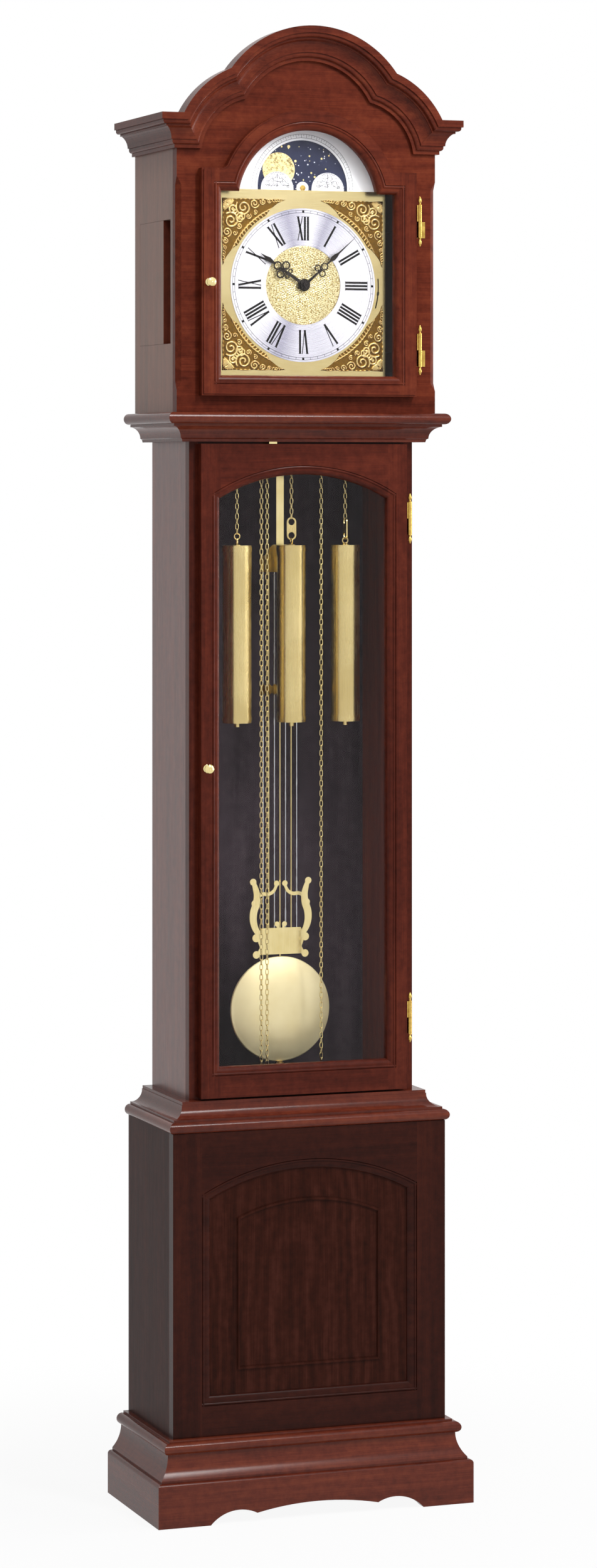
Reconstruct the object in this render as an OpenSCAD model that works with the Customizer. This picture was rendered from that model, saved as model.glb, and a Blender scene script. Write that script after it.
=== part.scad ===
// Longcase clock with a moon dial, three weights on chains and a lyre pendulum.
// Origin at the middle of the floor, the wall behind at +Y, +Z up, in millimetres.

/* [Plinth and base] */
// Width of the plinth, the widest part of the clock
plinth_w = 480; // [472:1:492]
// Depth of the plinth from the wall to its front
plinth_d = 240; // [234:1:250]
// Height of the plinth boards
plinth_h = 62.5; // [55:0.5:75]
// Thickness of the plinth boards
plinth_t = 18; // [16:0.5:20]
// Height of the moulding that stands on the plinth boards
plinth_mould_h = 56; // [54:0.5:60]
// Height of the middle arch cut into the front plinth board
scallop_rise = 22; // [18:0.5:26]
// Height of the two small arches beside it
side_arch_rise = 19; // [16:0.5:22]
// Distance of a small arch's top from the middle
side_arch_x = 119; // [110:1:126]
// Half the width between the front feet
foot_x = 162; // [156:1:170]
// Width of the base box
base_w = 416; // [408:1:424]
// Depth of the base box
base_d = 208; // [203:1:213]
// Height of the base box between its two mouldings
base_h = 433; // [420:1:450]
// Thickness of the boards of the case
board_t = 18; // [16:0.5:20]
// Thickness of the back board
back_t = 8; // [6:0.5:10]
// Width of the wood left around the arched panel in the base
base_frame_w = 43.5; // [40:0.5:48]
// Height of the wood above the shoulders of that panel
base_head_h = 88; // [80:1:96]
// Rise of the panel's arch above its shoulders
base_arch_rise = 43.2; // [38:0.2:48]
// Depth of the moulded edge around the panel
base_edge_depth = 7; // [6:0.5:8]
// Half the width of the thin bead inside the panel
bead_x = 107; // [100:1:115]
// Radius of that bead
bead_r = 2.5; // [2:0.1:3]

/* [Waist] */
// Width of the waist
waist_w = 343; // [338:1:348]
// Depth of the waist
waist_d = 170; // [166:1:173]
// Height of the waist between its two mouldings
waist_h = 943.2; // [920:1:970]
// Thickness of the waist's side boards
waist_t = 16; // [14:0.5:18]
// Height of the moulding between base and waist
waist_mould_h = 42; // [41:0.5:46]
// Width of the waist door
waist_door_w = 316; // [312:1:320]
// Thickness of the waist door
waist_door_t = 14.7; // [13.5:0.1:15.5]
// Width of the wood of the waist door's frame, without its moulded edge
waist_rail_w = 17; // [15:0.5:19]
// Height of the door's bottom rail
waist_sill_h = 31.5; // [28:0.5:36]
// Height of the wood above the shoulders of the door's opening
waist_head_h = 71.5; // [66:0.5:76]
// Rise of the arch above those shoulders
waist_arch_rise = 40.6; // [36:0.2:45]
// Gap above and below the waist door
waist_door_gap = 3; // [2:0.5:4]

/* [Hood] */
// Width of the hood
hood_w = 396; // [391:1:401]
// Depth of the hood
hood_d = 194; // [190:1:197]
// Height of the hood from its base to the straight cornice
hood_h = 376.5; // [370:0.5:384]
// Thickness of the hood's side boards
hood_t = 16; // [14:0.5:18]
// Height of the moulding under the hood
hood_mould_h = 41.8; // [41:0.2:45]
// Height of the cornice moulding
cornice_h = 48.3; // [47:0.1:50]
// Radius of the crown's middle arch, at the foot of its moulding
crown_r = 107; // [104:0.5:110]
// Height of that arch's centre above the straight cornice
crown_rise = 23; // [20:0.5:26]
// Radius of the shoulder arches beside it
shoulder_r = 87.6; // [85:0.2:90]
// Distance of a shoulder arch's centre from the middle
shoulder_x = 75.6; // [73:0.2:78]
// Depth of a shoulder arch's centre below the straight cornice
shoulder_drop = 12.7; // [11:0.1:15]
// Width of the chamfer on the hood's front corners
chamfer_w = 7; // [5:0.5:8]
// Width of the hood door
hood_door_w = 329; // [325:1:333]
// Thickness of the hood door
hood_door_t = 13.7; // [13.2:0.1:15]
// Radius of the hood door's round head
hood_door_r = 136.7; // [134:0.5:139]
// Width of the wood of the hood door's frame, without its moulded edge
hood_rail_w = 18.5; // [17:0.5:20]
// Width of the moulded edge on both doors and on the base panel
edge_w = 13; // [12:0.5:14.5]
// Depth of the moulded edge on both doors, down to the glass
edge_depth = 10; // [9:0.2:10.4]
// Thickness of the glass
glass_t = 3; // [2:0.5:3]
// Height of an opening for reaching into the hood from the side
access_h = 178; // [160:1:190]
// Length of that opening, from back to front
access_l = 142; // [130:1:144]
// Length of the board that closes it, which leaves a finger gap
access_board_l = 110; // [100:1:115]

/* [Knobs and hinges] */
// Diameter of a door knob
knob_d = 14; // [12:0.5:16]
// Diameter of a hinge barrel
barrel_d = 5.7; // [5:0.1:6]
// Length of a hinge barrel without its finials
barrel_l = 48; // [44:1:52]
// Diameter of a hinge pin
hinge_pin_d = 2.4; // [2:0.1:3]
// Thickness of a hinge leaf
leaf_t = 1.2; // [1:0.1:1.3]

/* [Dial] */
// Width of the brass dial plate
dial_w = 255; // [251:1:259]
// Thickness of the dial plates
dial_t = 1.6; // [1.2:0.1:2]
// Diameter of the ring with the hour numbers
ring_d = 222; // [218:1:226]
// Diameter of the hammered disc in the middle
centre_d = 114; // [108:1:120]
// Thickness of the ring
ring_t = 1.2; // [1:0.1:1.5]
// Radius of the window in the moon arch
moon_window_r = 69; // [66:0.5:71]
// Radius of the two humps that hide the moon
hump_r = 24.8; // [23:0.2:26]
// Radius of the turning moon disc
moon_disc_r = 74; // [72.5:0.5:77]
// Radius of the slot for the chime lever, about the dial's middle
lever_r = 116.5; // [115:0.5:119]
// Length of the hour hand
hour_hand_l = 80.6; // [76:0.5:86]
// Length of the minute hand
minute_hand_l = 107; // [102:0.5:110]
// Minutes past ten that the hands show
minutes_shown = 8; // [0:1:20]

/* [Movement and weights] */
// Width of the movement's brass plates
plates_w = 190; // [184:1:196]
// Thickness of the movement's plates
plates_t = 3; // [2.5:0.1:3.5]
// Space between the movement's plates
plates_gap = 55; // [52:1:60]
// Module of the wheels between front plate and dial
gear_module = 1; // [0.95:0.01:1.05]
// Diameter of a weight
weight_d = 42.3; // [40:0.1:45]
// Length of a weight's shell
weight_l = 257; // [240:1:270]
// Distance from a chain wheel's centre down to the top of a weight
weight_drop = 303; // [290:1:320]
// Thickness of a chain link's wire
wire_d = 1.05; // [1:0.01:1.08]
// Outside length of a chain link
link_l = 10; // [9.7:0.1:10.3]
// Outside width of a chain link
link_w = 5.6; // [5.4:0.1:5.8]
// Length of a chain's free side
free_chain_l = 1213; // [1150:1:1225]
// Clearance of a shaft in its hole
shaft_play = 0.05; // [0.03:0.01:0.08]

/* [Pendulum] */
// Distance from the pendulum's pivot to the middle of its bob
pendulum_l = 1103; // [1095:1:1110]
// Diameter of the bob
bob_d = 154; // [150:1:158]
// Thickness of the bob at its middle
bob_t = 26; // [22:1:30]
// Length of the flat strip that the pendulum hangs on
leader_l = 418; // [400:1:430]
// Width of that strip
leader_w = 11.6; // [10:0.2:12.5]
// Distance between neighbouring rods
rod_pitch = 8.7; // [8.2:0.1:9.2]
// Diameter of a pendulum rod
rod_d = 2.6; // [2.2:0.1:3]
// Thickness of the lyre's plate
lyre_t = 2.4; // [2:0.1:2.8]

/* [Hidden] */
$fn = 64;

// Heights of the stages of the case
base_z0 = plinth_h + plinth_mould_h;
base_z1 = base_z0 + base_h;
waist_z0 = base_z1 + waist_mould_h;
waist_z1 = waist_z0 + waist_h;
hood_z0 = waist_z1 + hood_mould_h;
hood_z1 = hood_z0 + hood_h;

// Places along the depth, with the wall at back_y
back_y = plinth_d / 2;
plinth_y = back_y - plinth_d;
base_y = back_y - base_d;
waist_y = back_y - waist_d;
hood_y = back_y - hood_d;
inner_back_y = back_y - back_t;
fit = 0.3;

// Base panel: a frame with an arched opening
base_open_x = base_w / 2 - base_frame_w;
base_open_z0 = base_z0 + base_frame_w;
base_open_z1 = base_z1 - base_head_h;
panel_t = 8;
bead_z0 = base_open_z0 + 50;
bead_z1 = base_open_z1 - 37.5;
bead_rise = 22.3;

// Waist door and its opening
waist_door_x = waist_door_w / 2;
waist_door_z0 = waist_z0 + waist_door_gap;
waist_door_z1 = waist_z1 - waist_door_gap;
waist_door_y = waist_y - fit - waist_door_t;
waist_open_x = waist_door_x - waist_rail_w;
waist_open_z0 = waist_door_z0 + waist_sill_h;
waist_open_z1 = waist_door_z1 - waist_head_h;

// Hood door: a square frame with a round head on it
hood_door_x = hood_door_w / 2;
arch_z = hood_z0 + 299;
hood_door_z0 = hood_z0 + 24;
hood_door_z1 = arch_z + 49.5;
hood_door_y = hood_y - fit - hood_door_t;
hood_open_x = hood_door_x - hood_rail_w;
hood_open_z0 = hood_door_z0 + 16.2;
hood_open_z1 = arch_z + 30.5;
hood_open_r = hood_door_r - 16.7;

// Access openings in the hood's sides
access_y0 = inner_back_y - 16;
access_y1 = access_y0 - access_l;
access_z0 = hood_z0 + 98.5;
access_lip = 6;

// Dial: plates behind the hood's front board
dial_z = arch_z - 114.5;
dial_y = hood_y + board_t + 1;
dial_z0 = dial_z - 137;
dial_z1 = dial_z + 137;
moon_z = dial_z1 + 3.5;
moon_y = dial_y + 2 * dial_t + 0.5;
arch_plate_r = dial_w / 2 - 14.5;
ring_y = dial_y - ring_t;

// Movement: two plates on the seat board
seat_z = dial_z - 125;
seat_t = 18;
front_plate_y = dial_y + dial_t + 29.4;
rear_plate_y = front_plate_y + plates_t + plates_gap;
plates_z1 = dial_z + 72;
chain_wheel_z = dial_z - 73;
pivot_z = dial_z + 47;
weight_y = front_plate_y + plates_t + 15;

// Chains: the pitch follows from the link, and eight links span a wheel's upper half
chain_pitch = link_l - 2 * wire_d - 0.55;
chain_r = 8 * chain_pitch / PI;
LEFT = -65.2;
CENTRE = -18.8;
RIGHT = 64.8;
eye_r = 4.2;
eye_wire = 2.2;

// The slotted links hang in the last links of the centre and right chains
plate_link_z1 = chain_wheel_z - 35.5 * chain_pitch - 1.5;
weight_top = chain_wheel_z - weight_drop;

// Wheels between the plates and under the dial
escape_r = 15;
pallet_gap = 0.95;
escape_y = rear_plate_y - 14;
escape_z = pivot_z - 21.2;
wheel_angle = -45;
minute_wheel_at = 24 * gear_module * [cos(wheel_angle), sin(wheel_angle)] + [0, dial_z];

// Feet of the hinge barrels
hood_hinges = [hood_z0 + 67.5, hood_z0 + 254.25];
waist_hinges = [waist_z0 + 82.5, waist_z1 - 134.95];

// Pendulum, hung behind the rear plate
pendulum_y = rear_plate_y + plates_t + 7;
bob_z = pivot_z - pendulum_l;
bob_r = bob_d / 2;
leader_z0 = pivot_z - leader_l;
rods_z0 = bob_z + 119;
top_plate_z0 = leader_z0 - 45;
nut_travel = 3;

// Roof and crown
roof_z = hood_z1 + 37;
roof_t = 10;
crown_z = hood_z1 + crown_rise;
shoulder_z = hood_z1 - shoulder_drop;

// Colours of the materials
WOOD = "#5b2a1b";
DARK_WOOD = "#43201a";
BRASS = "#d8bd6b";
STEEL = "#c9ccd0";
BLACK = "#201c1a";

// Angles of the hands, clockwise from twelve
minute_turn = minutes_shown * 6;
hour_turn = 300 + minutes_shown / 2;

// The chains hang at both edges of their wheels: here the weight, there the free side
function weight_x(c) = c == LEFT ? c - chain_r : c + chain_r;
function free_x(c) = 2 * c - weight_x(c);

// A block between two opposite corners
module block(x0, x1, y0, y1, z0, z1) {
    translate([x0, y0, z0])
        cube([x1 - x0, y1 - y0, z1 - z0]);
}

// The same piece on the right and on the left
module both_sides() {
    children();
    mirror([1, 0, 0])
        children();
}

// A flat shape drawn in X and Z, made solid between two depths
module upright(y0, y1) {
    translate([0, y1, 0])
        rotate([90, 0, 0])
            linear_extrude(y1 - y0)
                children();
}

// A round bar or disc along the depth
module disc(x, z, r, y0, y1) {
    translate([x, y0, z])
        rotate([-90, 0, 0])
            cylinder(r = r, h = y1 - y0);
}

// A profile carried round the front and both sides of a box, with mitred corners.
// In the profile, x is the distance outwards from the box and y the height.
module wrap(w, yf, yb, reach) {
    x = w / 2;
    far = x + reach;
    intersection() {
        translate([far, yf, 0])
            rotate([90, 0, -90])
                linear_extrude(2 * far)
                    children();
        linear_extrude(3000)
            polygon([[-x, yf], [x, yf], [far, yf - reach], [-far, yf - reach]]);
    }
    both_sides()
        intersection() {
            translate([x, yb, 0])
                rotate([90, 0, 0])
                    linear_extrude(yb - yf + reach)
                        children();
            linear_extrude(3000)
                polygon([[x, yf], [far, yf - reach], [far, yb], [x, yb]]);
        }
}

// Radius of an arch from half its width and its rise
function arch_r(a, rise) = (a * a + rise * rise) / (2 * rise);

// Outline of an opening with straight sides and a segmental arch, grown by g
module arched(a, z0, z1, rise, g = 0) {
    r = arch_r(a, rise);
    zc = z1 + rise - r;
    intersection() {
        translate([-a - g, z0 - g])
            square([2 * (a + g), z1 + rise + g - z0 + g]);
        union() {
            translate([-a - g, z0 - g])
                square([2 * (a + g), z1 - z0 + g - 5]);
            translate([0, zc])
                circle(r + g, $fn = 360);
        }
    }
}

// Outline of the hood door, or of its opening, with a round head
module round_headed(a, z0, z1, r) {
    translate([-a, z0])
        square([2 * a, z1 - z0]);
    translate([0, arch_z])
        circle(r, $fn = 180);
}

// Points along an arc from angle a0 to a1
function arc(c, r, a0, a1, n = 6) =
    [for (i = [0:n]) let (a = a0 + (a1 - a0) * i / n) c + r * [cos(a), sin(a)]];

// Section of a moulded edge: a bead, a flat and a quarter round down to the glass
module edge_section(w, depth) {
    polygon(concat([[-1, depth], [-1, 1.5], [0.4, 1.5]], arc([2.3, 2.4], 2, 210, 345, 5),
        [for (a = [0:15:90]) [5 + (w - 5) * sin(a), 1.9 + (depth - 1.9) * (1 - cos(a))]]));
}

// The moulded edge along the sides and the foot of an opening
module edge_runs(a, z0, z1, y) {
    translate([a, y, z0])
        rotate([0, -90, 0])
            linear_extrude(2 * a)
                children();
    translate([-a, y, z0])
        linear_extrude(z1 - z0)
            children();
    translate([a, y, z0])
        mirror([1, 0, 0])
            linear_extrude(z1 - z0)
                children();
}

// The moulded edge along a round arch, kept above a level
module edge_arch(r, zc, y, half_w, zmin) {
    intersection() {
        translate([0, y, zc])
            rotate([-90, 0, 0])
                rotate_extrude($fn = 180)
                    translate([r, 0])
                        mirror([1, 0])
                            children();
        block(-half_w, half_w, y - 1, y + 40, zmin, zc + r + 1);
    }
}

// A smooth line through hand-picked points, k steps between each two
function between(a, b, c, d, t) = 0.5 * (2 * b + (c - a) * t
    + (2 * a - 5 * b + 4 * c - d) * t * t + (3 * b - a - 3 * c + d) * t * t * t);
function smooth(p, k = 5) = [
    for (i = [0:len(p) - 2])
        for (j = [0:k - 1])
            between(p[max(i - 1, 0)], p[i], p[i + 1], p[min(i + 2, len(p) - 1)], j / k),
    p[len(p) - 1]];

// Unit vector square to a line at its point i
function across(c, i) =
    let (d = c[min(i + 1, len(c) - 1)] - c[max(i - 1, 0)])
    [-d.y, d.x] / norm(d);

// A ribbon along such a line, w0 wide at its start, w1 in its middle and w2 at its end
module ribbon(p, w0, w1, w2, k = 5) {
    c = smooth(p, k);
    n = len(c) - 1;
    half = [for (i = [0:n]) let (t = i / n)
        ((1 - t) * (1 - t) * w0 + 2 * t * (1 - t) * w1 * 1.5 + t * t * w2) / 2];
    polygon(concat(
        [for (i = [0:n]) c[i] + across(c, i) * half[i]],
        [for (i = [n:-1:0]) c[i] - across(c, i) * half[i]]));
}

// A wheel's outline with involute teeth at a pressure angle of 20 degrees
function involute_turn(r, rb) = r <= rb ? 0 :
    let (a = sqrt(r * r / (rb * rb) - 1)) a * 180 / PI - atan(a);
module gear_outline(teeth, m, play = 0.15) {
    rp = teeth * m / 2;
    rb = rp * cos(20);
    root = rp - 1.15 * m;
    radii = [root, max(root + 0.01, rb), rp, rp + 0.8 * m];
    half = 90 / teeth - play / rp * 28.65 + involute_turn(rp, rb);
    polygon([for (i = [0:teeth - 1]) each concat(
        [for (r = radii) let (a = i * 360 / teeth - half + involute_turn(r, rb))
            r * [cos(a), sin(a)]],
        [for (j = [3:-1:0]) let (r = radii[j], a = i * 360 / teeth + half - involute_turn(r, rb))
            r * [cos(a), sin(a)]])]);
}

// Section of a board of the plinth, with its upper edge rounded
module plinth_section() {
    r = 5;
    polygon(concat([[-plinth_t, 0], [0, 0]],
        [for (a = [0:15:90]) [r * cos(a) - r, plinth_h - r + r * sin(a)]],
        [[-plinth_t, plinth_h]]));
}

// A circle whose top is an arch of a given half width and rise above the floor
module scallop(x, half, rise) {
    r = (half * half + rise * rise) / (2 * rise);
    translate([x, rise - r])
        circle(r, $fn = 180);
}

// Front and side boards of the plinth, the front one scalloped between its feet
module plinth_boards() {
    color(WOOD)
        difference() {
            translate([0, plinth_y, 0])
                wrap_in(plinth_w, plinth_t);
            upright(plinth_y - 1, plinth_y + plinth_t + 1) {
                for (s = [-1, 1])
                    scallop(s * side_arch_x, foot_x - side_arch_x, side_arch_rise);
                scallop(0, foot_x - 23.7, scallop_rise);
            }
        }
}

// Boards of section plinth_section round the front and both sides, measured from outside
module wrap_in(w, t) {
    x = w / 2;
    intersection() {
        translate([x, 0, 0])
            rotate([90, 0, -90])
                linear_extrude(w)
                    plinth_section();
        linear_extrude(plinth_h + 1)
            polygon([[-x, 0], [x, 0], [x - t, t], [t - x, t]]);
    }
    both_sides()
        intersection() {
            translate([x, plinth_d, 0])
                rotate([90, 0, 0])
                    linear_extrude(plinth_d)
                        plinth_section();
            linear_extrude(plinth_h + 1)
                polygon([[x, 0], [x, plinth_d], [x - t, plinth_d], [x - t, t]]);
        }
}

// Cove and half-round moulding that carries the base box on the plinth
module plinth_moulding() {
    top = plinth_mould_h;
    cove_r = 48.3;
    color(WOOD)
        translate([0, 0, plinth_h])
            wrap(base_w, base_y, back_y, 30) {
                square([25, 3.5]);
                difference() {
                    translate([0, 3.4])
                        square([25, top - 22.4]);
                    translate([11.5 + cove_r, top - 19])
                        circle(cove_r, $fn = 180);
                }
                translate([0, top - 19.1])
                    square([10.5, 16]);
                translate([10.5, top - 11])
                    circle(8.05);
                translate([0, top - 5])
                    square([8, 5]);
            }
}

// Front of the base: a board with an arched opening and a moulded edge
module base_front() {
    a = base_open_x;
    r = arch_r(a, base_arch_rise);
    color(DARK_WOOD) {
        upright(base_y, base_y + board_t)
            difference() {
                translate([-base_w / 2, plinth_h])
                    square([base_w, base_z1 - plinth_h]);
                arched(a, base_open_z0, base_open_z1, base_arch_rise);
            }
        edge_runs(a, base_open_z0, base_open_z1 + 8, base_y)
            edge_section(edge_w + 1, base_edge_depth);
        edge_arch(r, base_open_z1 + base_arch_rise - r, base_y, a, base_open_z1 - 30)
            edge_section(edge_w + 1, base_edge_depth);
    }
}

// Recessed panel of the base, with a thin arched bead glued on it
module base_panel() {
    y = base_y + base_edge_depth;
    color(DARK_WOOD) {
        upright(y, y + panel_t)
            arched(base_open_x, base_open_z0, base_open_z1, base_arch_rise, -0.15);
        for (step = [[bead_r, 0.5 * bead_r], [0.6 * bead_r, bead_r]])
            upright(y - step[1], y + 0.2)
                difference() {
                    arched(bead_x, bead_z0, bead_z1, bead_rise, step[0]);
                    arched(bead_x, bead_z0, bead_z1, bead_rise, -step[0]);
                }
    }
}

module base_sides() {
    color(WOOD)
        both_sides()
            block(base_w / 2 - board_t, base_w / 2, base_y + board_t, back_y, plinth_h, base_z1);
}

// Floor and top frame of the base, the seat board under the movement, and the roof
module inner_boards() {
    x = base_w / 2 - board_t;
    color(WOOD) {
        block(-x, x, base_y + board_t, inner_back_y, plinth_h, plinth_h + board_t);
        difference() {
            block(-x, x, base_y + board_t, inner_back_y, base_z1 - board_t, base_z1);
            block(waist_t - waist_w / 2, waist_w / 2 - waist_t, waist_y + waist_t, back_y,
                base_z1 - board_t - 1, base_z1 + 1);
        }
        difference() {
            block(-waist_w / 2, waist_w / 2, front_plate_y - 6, pendulum_y + 16,
                seat_z - seat_t, seat_z);
            block(weight_x(LEFT) - 7, weight_x(CENTRE) + 7, weight_y - 7, weight_y + 7,
                seat_z - seat_t - 1, seat_z + 1);
            block(free_x(RIGHT) - 7, weight_x(RIGHT) + 7, weight_y - 7, weight_y + 7,
                seat_z - seat_t - 1, seat_z + 1);
            block(-24, 24, rear_plate_y + plates_t + 1.5, pendulum_y + 8,
                seat_z - seat_t - 1, seat_z + 1);
        }
        block(-hood_w / 2, hood_w / 2, hood_y + board_t, back_y, roof_z, roof_z + roof_t);
    }
}

// Moulding on which the waist stands
module waist_base_moulding() {
    h = waist_mould_h;
    cove = h - 24.9;
    color(WOOD)
        translate([0, 0, base_z1])
            wrap(waist_w, waist_y, back_y, 44) {
                square([32, 15.9]);
                translate([34.5, 8])
                    circle(8);
                translate([0, 15])
                    square([34, 4.3]);
                difference() {
                    translate([0, 19])
                        square([15.9 + cove, h - 23.5]);
                    translate([15.9 + cove, h - 5.9])
                        circle(cove);
                }
                square([15, h]);
            }
}

// Side boards of the waist, carried up into the hood to hold the seat board
module waist_sides() {
    x = waist_w / 2 - waist_t;
    color(WOOD)
        both_sides() {
            block(x, waist_w / 2, waist_y + waist_t, back_y, base_z1, hood_z0);
            block(x, waist_w / 2, waist_y + waist_t, pendulum_y + 16, hood_z0, seat_z - seat_t);
        }
}

// Front frame of the waist, behind the door
module waist_stiles() {
    x = waist_open_x - edge_w + 5;
    z = waist_open_z0 + edge_w - 5;
    color(WOOD)
        upright(waist_y, waist_y + waist_t)
            difference() {
                translate([-waist_w / 2, base_z1])
                    square([waist_w, hood_z0 - base_z1]);
                translate([-x, z])
                    square([2 * x, waist_open_z1 + waist_arch_rise - z]);
            }
}

// One stepped board closes the back from plinth to roof
module back_panel() {
    b = base_w / 2 - board_t;
    w = waist_w / 2 - waist_t;
    h = hood_w / 2 - hood_t;
    color("#3a3338")
        upright(inner_back_y, back_y)
            polygon([[-b, plinth_h], [b, plinth_h], [b, base_z1], [w, base_z1], [w, hood_z0],
                [h, hood_z0], [h, roof_z], [-h, roof_z], [-h, hood_z0], [-w, hood_z0],
                [-w, base_z1], [-b, base_z1]]);
}

// Moulding that carries the hood
module hood_moulding() {
    h = hood_mould_h;
    cove = h - 24.6;
    color(WOOD)
        translate([0, 0, waist_z1])
            wrap(waist_w, waist_y, back_y, 46) {
                polygon([[0, 0], [15, 0], [16, 3.8], [18.5, 5.4], [0, 5.4]]);
                difference() {
                    translate([0, 5.3])
                        square([33, cove - 0.1]);
                    translate([18.5 + cove, 5.3])
                        circle(cove);
                }
                translate([0, h - 19.6])
                    square([33.8, 5]);
                translate([0, h - 16])
                    square([34, 16]);
                translate([36, h - 8])
                    circle(8);
            }
}

// Side boards of the hood, each with an opening and a ledge behind its board
module hood_sides() {
    x = hood_w / 2 - hood_t;
    z1 = access_z0 + access_h;
    lip = access_lip;
    color(WOOD)
        both_sides() {
            difference() {
                block(x, hood_w / 2, hood_y + board_t, back_y, hood_z0, roof_z);
                block(x - 1, hood_w / 2 + 1, access_y1, access_y0, access_z0, z1);
            }
            difference() {
                block(x - lip, x, access_y1 - 4, access_y0 + lip, access_z0 - lip, z1 + lip);
                block(x - lip - 1, x + 1, access_y1 - 5, access_y0 - lip, access_z0 + lip, z1 - lip);
            }
        }
}

// Outline of the crown, grown by h from the foot of its moulding
module crown_outline(h) {
    intersection() {
        translate([-hood_w / 2, hood_z0])
            square([hood_w, 700]);
        union() {
            translate([-hood_w / 2, hood_z0])
                square([hood_w, hood_h + h]);
            for (s = [-1, 1])
                translate([s * shoulder_x, shoulder_z])
                    circle(shoulder_r + h, $fn = 180);
            translate([0, crown_z])
                circle(crown_r + h, $fn = 180);
        }
    }
}

// Cutter for a stopped chamfer, with a lamb's tongue at each end
module chamfer_cut(z0, z1) {
    s = chamfer_w / sqrt(2);
    half = [[0, 0], [0.35 * s, 4], [0.5 * s, 6], [s, 12]];
    rotate([0, 0, 135])
        upright(-15, 15)
            polygon(concat([[-2, z0]], [for (p = half) [p.x, z0 + p.y]],
                [for (i = [3:-1:0]) [half[i].x, z1 - half[i].y]], [[-2, z1]]));
}

// Front board of the hood, with the opening for the dial and the crown's outline
module hood_front() {
    x = hood_open_x - edge_w + 5;
    color(WOOD)
        difference() {
            upright(hood_y, hood_y + board_t)
                difference() {
                    crown_outline(36);
                    round_headed(x, hood_open_z0 + edge_w - 5, hood_open_z1 - edge_w + 5,
                        hood_open_r - edge_w + 5);
                }
            both_sides()
                translate([hood_w / 2, hood_y, 0])
                    chamfer_cut(hood_z0 + 32, hood_z1 - 40);
        }
}

// Section of the cornice: beads below, a cove, a bead and a flat front
module cornice_section() {
    polygon(concat([[0, 0], [5, 0]], arc([5, 9.5], 4.5, -90, 0), [[9.5, 12]],
        arc([33, 12], 21.5, 180, 125.5), [[23, 29.5], [23, 32.5]],
        arc([25.5, 36.5], 4, -90, 0), [[29.5, 38.5], [32, 38.5], [32, cornice_h], [0, cornice_h]]));
}

// Cornice round the sides, and the crown over the dial, mitred where its arches meet.
// A hair's width is left in those joints.
module cornice_moulding() {
    h = cornice_h;
    hair = [0.03, 0];
    a0 = circles_meet([0, crown_z], crown_r, [shoulder_x, shoulder_z], shoulder_r);
    a1 = circles_meet([0, crown_z], crown_r + h, [shoulder_x, shoulder_z], shoulder_r + h);
    b0 = [shoulder_x + sqrt(pow(shoulder_r, 2) - pow(shoulder_drop, 2)), hood_z1];
    b1 = [shoulder_x + sqrt(pow(shoulder_r + h, 2) - pow(shoulder_drop + h, 2)), hood_z1 + h];
    a = [a0 - 0.4 * (a1 - a0), a1 + 0.4 * (a1 - a0)];
    b = [b0 - 0.1 * (b1 - b0), b1 + 0.1 * (b1 - b0)];
    top = crown_z + crown_r + h + 5;
    color(WOOD) {
        difference() {
            translate([0, 0, hood_z1])
                wrap(hood_w, hood_y, back_y, 33)
                    cornice_section();
            upright(hood_y - 40, hood_y + 1)
                wedge(b[0] + hair, b[1] + hair);
        }
        intersection() {
            crown_arc([0, crown_z], crown_r);
            upright(hood_y - 40, hood_y + 1) {
                wedge(a[0] - hair, a[1] - hair);
                translate([hair.x - a[1].x, a[1].y - 1])
                    square([2 * (a[1].x - hair.x), top - a[1].y]);
            }
        }
        both_sides()
            intersection() {
                crown_arc([shoulder_x, shoulder_z], shoulder_r);
                upright(hood_y - 40, hood_y + 1)
                    polygon([a[0] + hair, b[0] - hair, b[1] - hair, [b[1].x, top], [a[1].x, top],
                        a[1] + hair]);
            }
    }
}

// The region between a slanted line and its mirror image
module wedge(p, q) {
    polygon([[-p.x, p.y], p, q, [-q.x, q.y]]);
}

// The cornice's section carried round a full circle on the front board
module crown_arc(c, r) {
    translate([c.x, hood_y, c.y])
        rotate([90, 0, 0])
            rotate_extrude($fn = 180)
                translate([r, 0])
                    rotate(90)
                        mirror([0, 1])
                            cornice_section();
}

// Upper right point where two circles cross
function circles_meet(c1, r1, c2, r2) =
    let (d = norm(c2 - c1), u = (c2 - c1) / d, a = (r1 * r1 - r2 * r2 + d * d) / (2 * d),
        h = sqrt(r1 * r1 - a * a))
    c1 + a * u + h * [-u.y, u.x];

// Brass plate behind the ring, with feet that hold it to the movement
module dial_plate() {
    hub_y = dial_y + dial_t;
    color(BRASS) {
        difference() {
            block(-dial_w / 2, dial_w / 2, dial_y, hub_y, dial_z0, dial_z1);
            disc(0, dial_z, 4.5, dial_y - 1, hub_y + 1);
            translate([0, dial_y - 1, dial_z])
                rotate([-90, 0, 0])
                    rotate([0, 0, -5.5])
                        rotate_extrude(angle = 21.5)
                            translate([lever_r - 0.9, 0])
                                square([1.8, dial_t + 2]);
        }
        for (x = [-85, 85], z = [seat_z + 17, plates_z1 - 15])
            disc(x, z, 3, hub_y, front_plate_y);
        difference() {
            union() {
                disc(0, dial_z, 7, hub_y, hub_y + 4);
                disc(0, dial_z, 8.5, hub_y + 3, hub_y + 4);
            }
            disc(0, dial_z, 4.5, hub_y - 1, hub_y + 5);
        }
    }
}

// Silver ring for the hour numbers
module chapter_ring() {
    color(STEEL)
        difference() {
            disc(0, dial_z, ring_d / 2, ring_y, dial_y);
            disc(0, dial_z, centre_d / 2 + 0.2, ring_y - 1, dial_y + 1);
        }
}

// Hammered disc inside the ring
module dial_centre() {
    color("#d9b24a")
        difference() {
            disc(0, dial_z, centre_d / 2, dial_y - 0.8, dial_y);
            disc(0, dial_z, 4.5, dial_y - 2, dial_y + 1);
        }
}

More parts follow.
